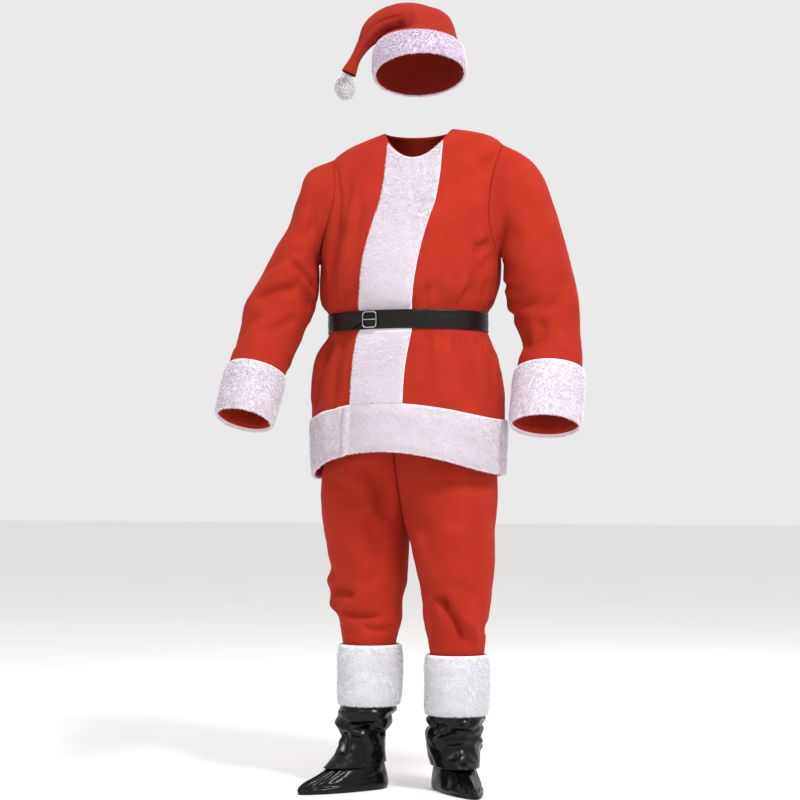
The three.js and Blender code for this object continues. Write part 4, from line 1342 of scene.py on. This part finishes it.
# %% Rings of the hat
TOWARD = np.array([math.sin(math.radians(20)), -math.cos(math.radians(20)), 0])
HAT = [
    # middle, radius in the plane of the fold, radius across it
    [[43, 16, 1648], 103, 106],
    [[35, 31, 1694], 100, 103],
    [[36, 40, 1726], 90, 92],
    [[36, 42, 1754], 72, 76],
    [[8, 34, 1776], 44, 62],
    [[-36, 20, 1774], 36, 50],
    [[-70, 6, 1752], 28, 40],
    [[-91, -4, 1718], 15, 28],
    [[-108, -12, 1684], 13, 20],
    [[-121, -17, 1654], 18, 19],
]
HAT_START = unit(np.array([-0.13, 0.26, 0.96]))


def hat_rings():
    """Ellipses square to the path of the hat: one axis in the plane of the fold, one across."""
    middles = np.array([row[0] for row in HAT], float)
    rings = []
    for k, (_, plane, cross) in enumerate(HAT):
        way = HAT_START if k < 2 else unit(middles[min(k + 1, len(HAT) - 1)] - middles[k - 1])
        side_way = unit(np.cross(way, TOWARD))
        ahead = np.cross(side_way, way)
        rings.append(lambda angle, m=middles[k], a=side_way * plane, b=-ahead * cross: (
            m + turned(angle)[0][..., None] * a + turned(angle)[1][..., None] * b))
    return rings


hat = through(hat_rings())
# Across is degrees x 1.5 mm: 0 the wearer's left, 270 the front; up is 34 mm a ring.
HAT_FOLDS = [
    [330, 100, 410, 128, -5.0, 8, 8],
    [300, 80, 350, 98, -4.0, 8, -6],
    [280, 92, 330, 118, 4.0, 10, 6],
    [260, 110, 380, 152, -6.0, 10, 8],
    [400, 80, 470, 96, -3.0, 12, 4],
    [60, 90, 160, 110, -5.0, 12, 8],
    [150, 120, 230, 150, -6.0, 12, -8],
    [400, 150, 420, 220, -4.0, 10, 4],
    [350, 200, 356, 270, -3.5, 8, 4],
    [120, 180, 130, 260, -3.0, 9, 4],
    [440, 240, 446, 290, -2.5, 7, 2],
]


def hat_skin(rows, count):
    """The hat's form moved out by its folds, which start above the band and die away in the
    crook of the bend, by 0.9 exp(-((angle - 160) / 70)^2 - ((place - 4.4) / 1.5)^2)."""
    angle, place = np.meshgrid(np.linspace(0, 360, count, endpoint=False), rows)
    base = hat(angle, place)
    normal = outward(hat, angle, place)
    deep = folds(HAT_FOLDS, angle * 1.5, place * 34, 540) + 1.4 * lumps(base, 50, 23)
    deep = deep * ease((place - 1.3) / 0.8) * (1 - 0.6 * ease((place - 7.5) / 1.5))
    crook = np.exp(-((angle - 160) / 70) ** 2 - ((place - 4.4) / 1.5) ** 2)
    deep = deep * (1 - 0.9 * crook)
    return base + normal * deep[..., None], normal


skin, normal = hat_skin(np.linspace(0, 9, 120), 108)
fleece_panel("hat_crown_cloth", skin, normal, True, HAT_FLEECE, ["hat_crown"])
skin, normal = hat_skin(np.linspace(-0.03, 1.5, 20), 120)
plush_piece("hat_band_plush", skin, normal, True, 90, ["hat_band"], 4.5, 40000,
            material=HAT_PLUSH, length=5.5, nap=(0.1, 0, -0.7))

# %% Pompom
POM_ROUND, POM_UP = 72, 40   # points round the ball and from pole to pole
c, s = turned(np.linspace(0, 360, POM_ROUND, endpoint=False))
rise = np.linspace(-88, 88, POM_UP)
cr, sr = turned(rise)
ball = np.stack([cr[:, None] * c, cr[:, None] * s, sr[:, None] + 0 * c], -1)
size = np.array([21.0, 19.5, 26.5])
tip_c, tip_s = turned(8.6)
turn_y = np.array([[tip_c, 0, -tip_s], [0, 1, 0], [tip_s, 0, tip_c]])
points = (ball * size) @ turn_y.T + [-129, -19, 1623]
normal = unit((ball / size) @ turn_y.T)
top, bottom = points[-1].mean(0), points[0].mean(0)
last_ring = (POM_UP - 1) * POM_ROUND
grid_faces = shell_faces(POM_UP, POM_ROUND, True)[:last_ring]   # the outer grid alone
k = np.arange(POM_ROUND)
after = (k + 1) % POM_ROUND
low_pole, high_pole = np.full((2, POM_ROUND), [[POM_UP * POM_ROUND], [POM_UP * POM_ROUND + 1]])
caps = [np.stack([low_pole, after, k, k], -1),
        np.stack([high_pole, last_ring + k, last_ring + after, last_ring + after], -1)]
flat_points = np.concatenate([points.reshape(-1, 3), [bottom, top]])
# the pompom's plush colours are brightened with painted light
core = link_mesh("pompom_core", flat_points, np.concatenate([grid_faces] + caps), POMPOM_PLUSH_PAINTED_LIGHT)
backing(core)
fluff = pile("pompom_pile", points, normal, 6.5, 22000, True, 95, nap=(0.2, 0, -0.6),
             material=POMPOM_PLUSH_PAINTED_LIGHT)
for obj in (core, fluff):
    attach(obj, "root")
    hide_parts("pompom")

# %% [markdown]
# ## Floor, light and camera
# A pale floor and a pale surround, with a strong soft lamp high on the wearer's left, a weaker
# one on the other side and a faint one behind, show the folds without hard shadows. The camera
# stands 4.8 m away and 0.7 m above the floor, a little to the wearer's left.

# %% Stage
SOLE = 2.5   # height of the lowest point of the boot covers, mm
floor_height = (SOLE - NECK[2]) * MM
material, tree, shader = new_material("pale_floor_paint")
where = add_node(tree, "ShaderNodeTexCoord").outputs["Object"]
speck = add_node(tree, "ShaderNodeTexNoise", inputs={"Vector": where, "Scale": 3.0})
tree.links.new(ramp(tree, speck.outputs["Fac"], [(0.3, "#f2f1f0"), (0.7, "#f5f4f3")]),
               shader.inputs["Base Color"])
shader.inputs["Roughness"].default_value = 0.8
mesh = bpy.data.meshes.new("floor")
half = 30.0   # metres
mesh.from_pydata([(-half, -half, floor_height), (half, -half, floor_height),
                  (half, half, floor_height), (-half, half, floor_height)], [], [(0, 1, 2, 3)])
mesh.materials.append(material)
floor = bpy.data.objects.new("floor", mesh)
bpy.context.scene.collection.objects.link(floor)

world = bpy.data.worlds.new("studio")
world.use_nodes = True
world.node_tree.nodes["Background"].inputs["Color"].default_value = (1.0, 1.0, 1.0, 1.0)
world.node_tree.nodes["Background"].inputs["Strength"].default_value = 0.82
bpy.context.scene.world = world


def soft_lamp(name, place, target, size, watts):
    """A square area lamp turned to face a point."""
    data = bpy.data.lights.new(name, "AREA")
    data.size = size
    data.energy = watts
    lamp = bpy.data.objects.new(name, data)
    lamp.location = place
    way = np.array(target) - np.array(place)
    flat_way = math.hypot(way[0], way[1])
    lamp.rotation_euler = (math.atan2(flat_way, -way[2]), 0,
                           math.atan2(way[1], way[0]) - math.pi / 2)
    bpy.context.scene.collection.objects.link(lamp)


soft_lamp("key", (2.3, -1.9, 3.0), (0, 0, -0.6), 0.9, 200)
soft_lamp("fill", (-1.2, -3.0, 3.0), (0, 0, -0.6), 1.4, 40)
soft_lamp("back", (0.5, 3.2, 1.8), (0, 0, -0.4), 2.2, 30)

bpy.context.scene.view_settings.view_transform = "Standard"

# %% Camera
DISTANCE, HEIGHT = 4.8, 0.70   # metres from the suit and above the soles
UP, AZIMUTH = 2.29, 20.0       # degrees above level and towards the wearer's left
camera_data = bpy.data.cameras.new("camera")
camera_data.lens = 93.9
camera_data.sensor_width = 36.0
camera_data.clip_end = 100.0
camera = bpy.data.objects.new("camera", camera_data)
c, s = turned(AZIMUTH)
camera.location = (DISTANCE * s - NECK[0] * MM, -DISTANCE * c - NECK[1] * MM,
                   HEIGHT - NECK[2] * MM)
camera.rotation_euler = (math.radians(90 + UP), 0, math.radians(AZIMUTH))
bpy.context.scene.collection.objects.link(camera)
bpy.context.scene.camera = camera

# %% Finish
bpy.context.view_layer.update()
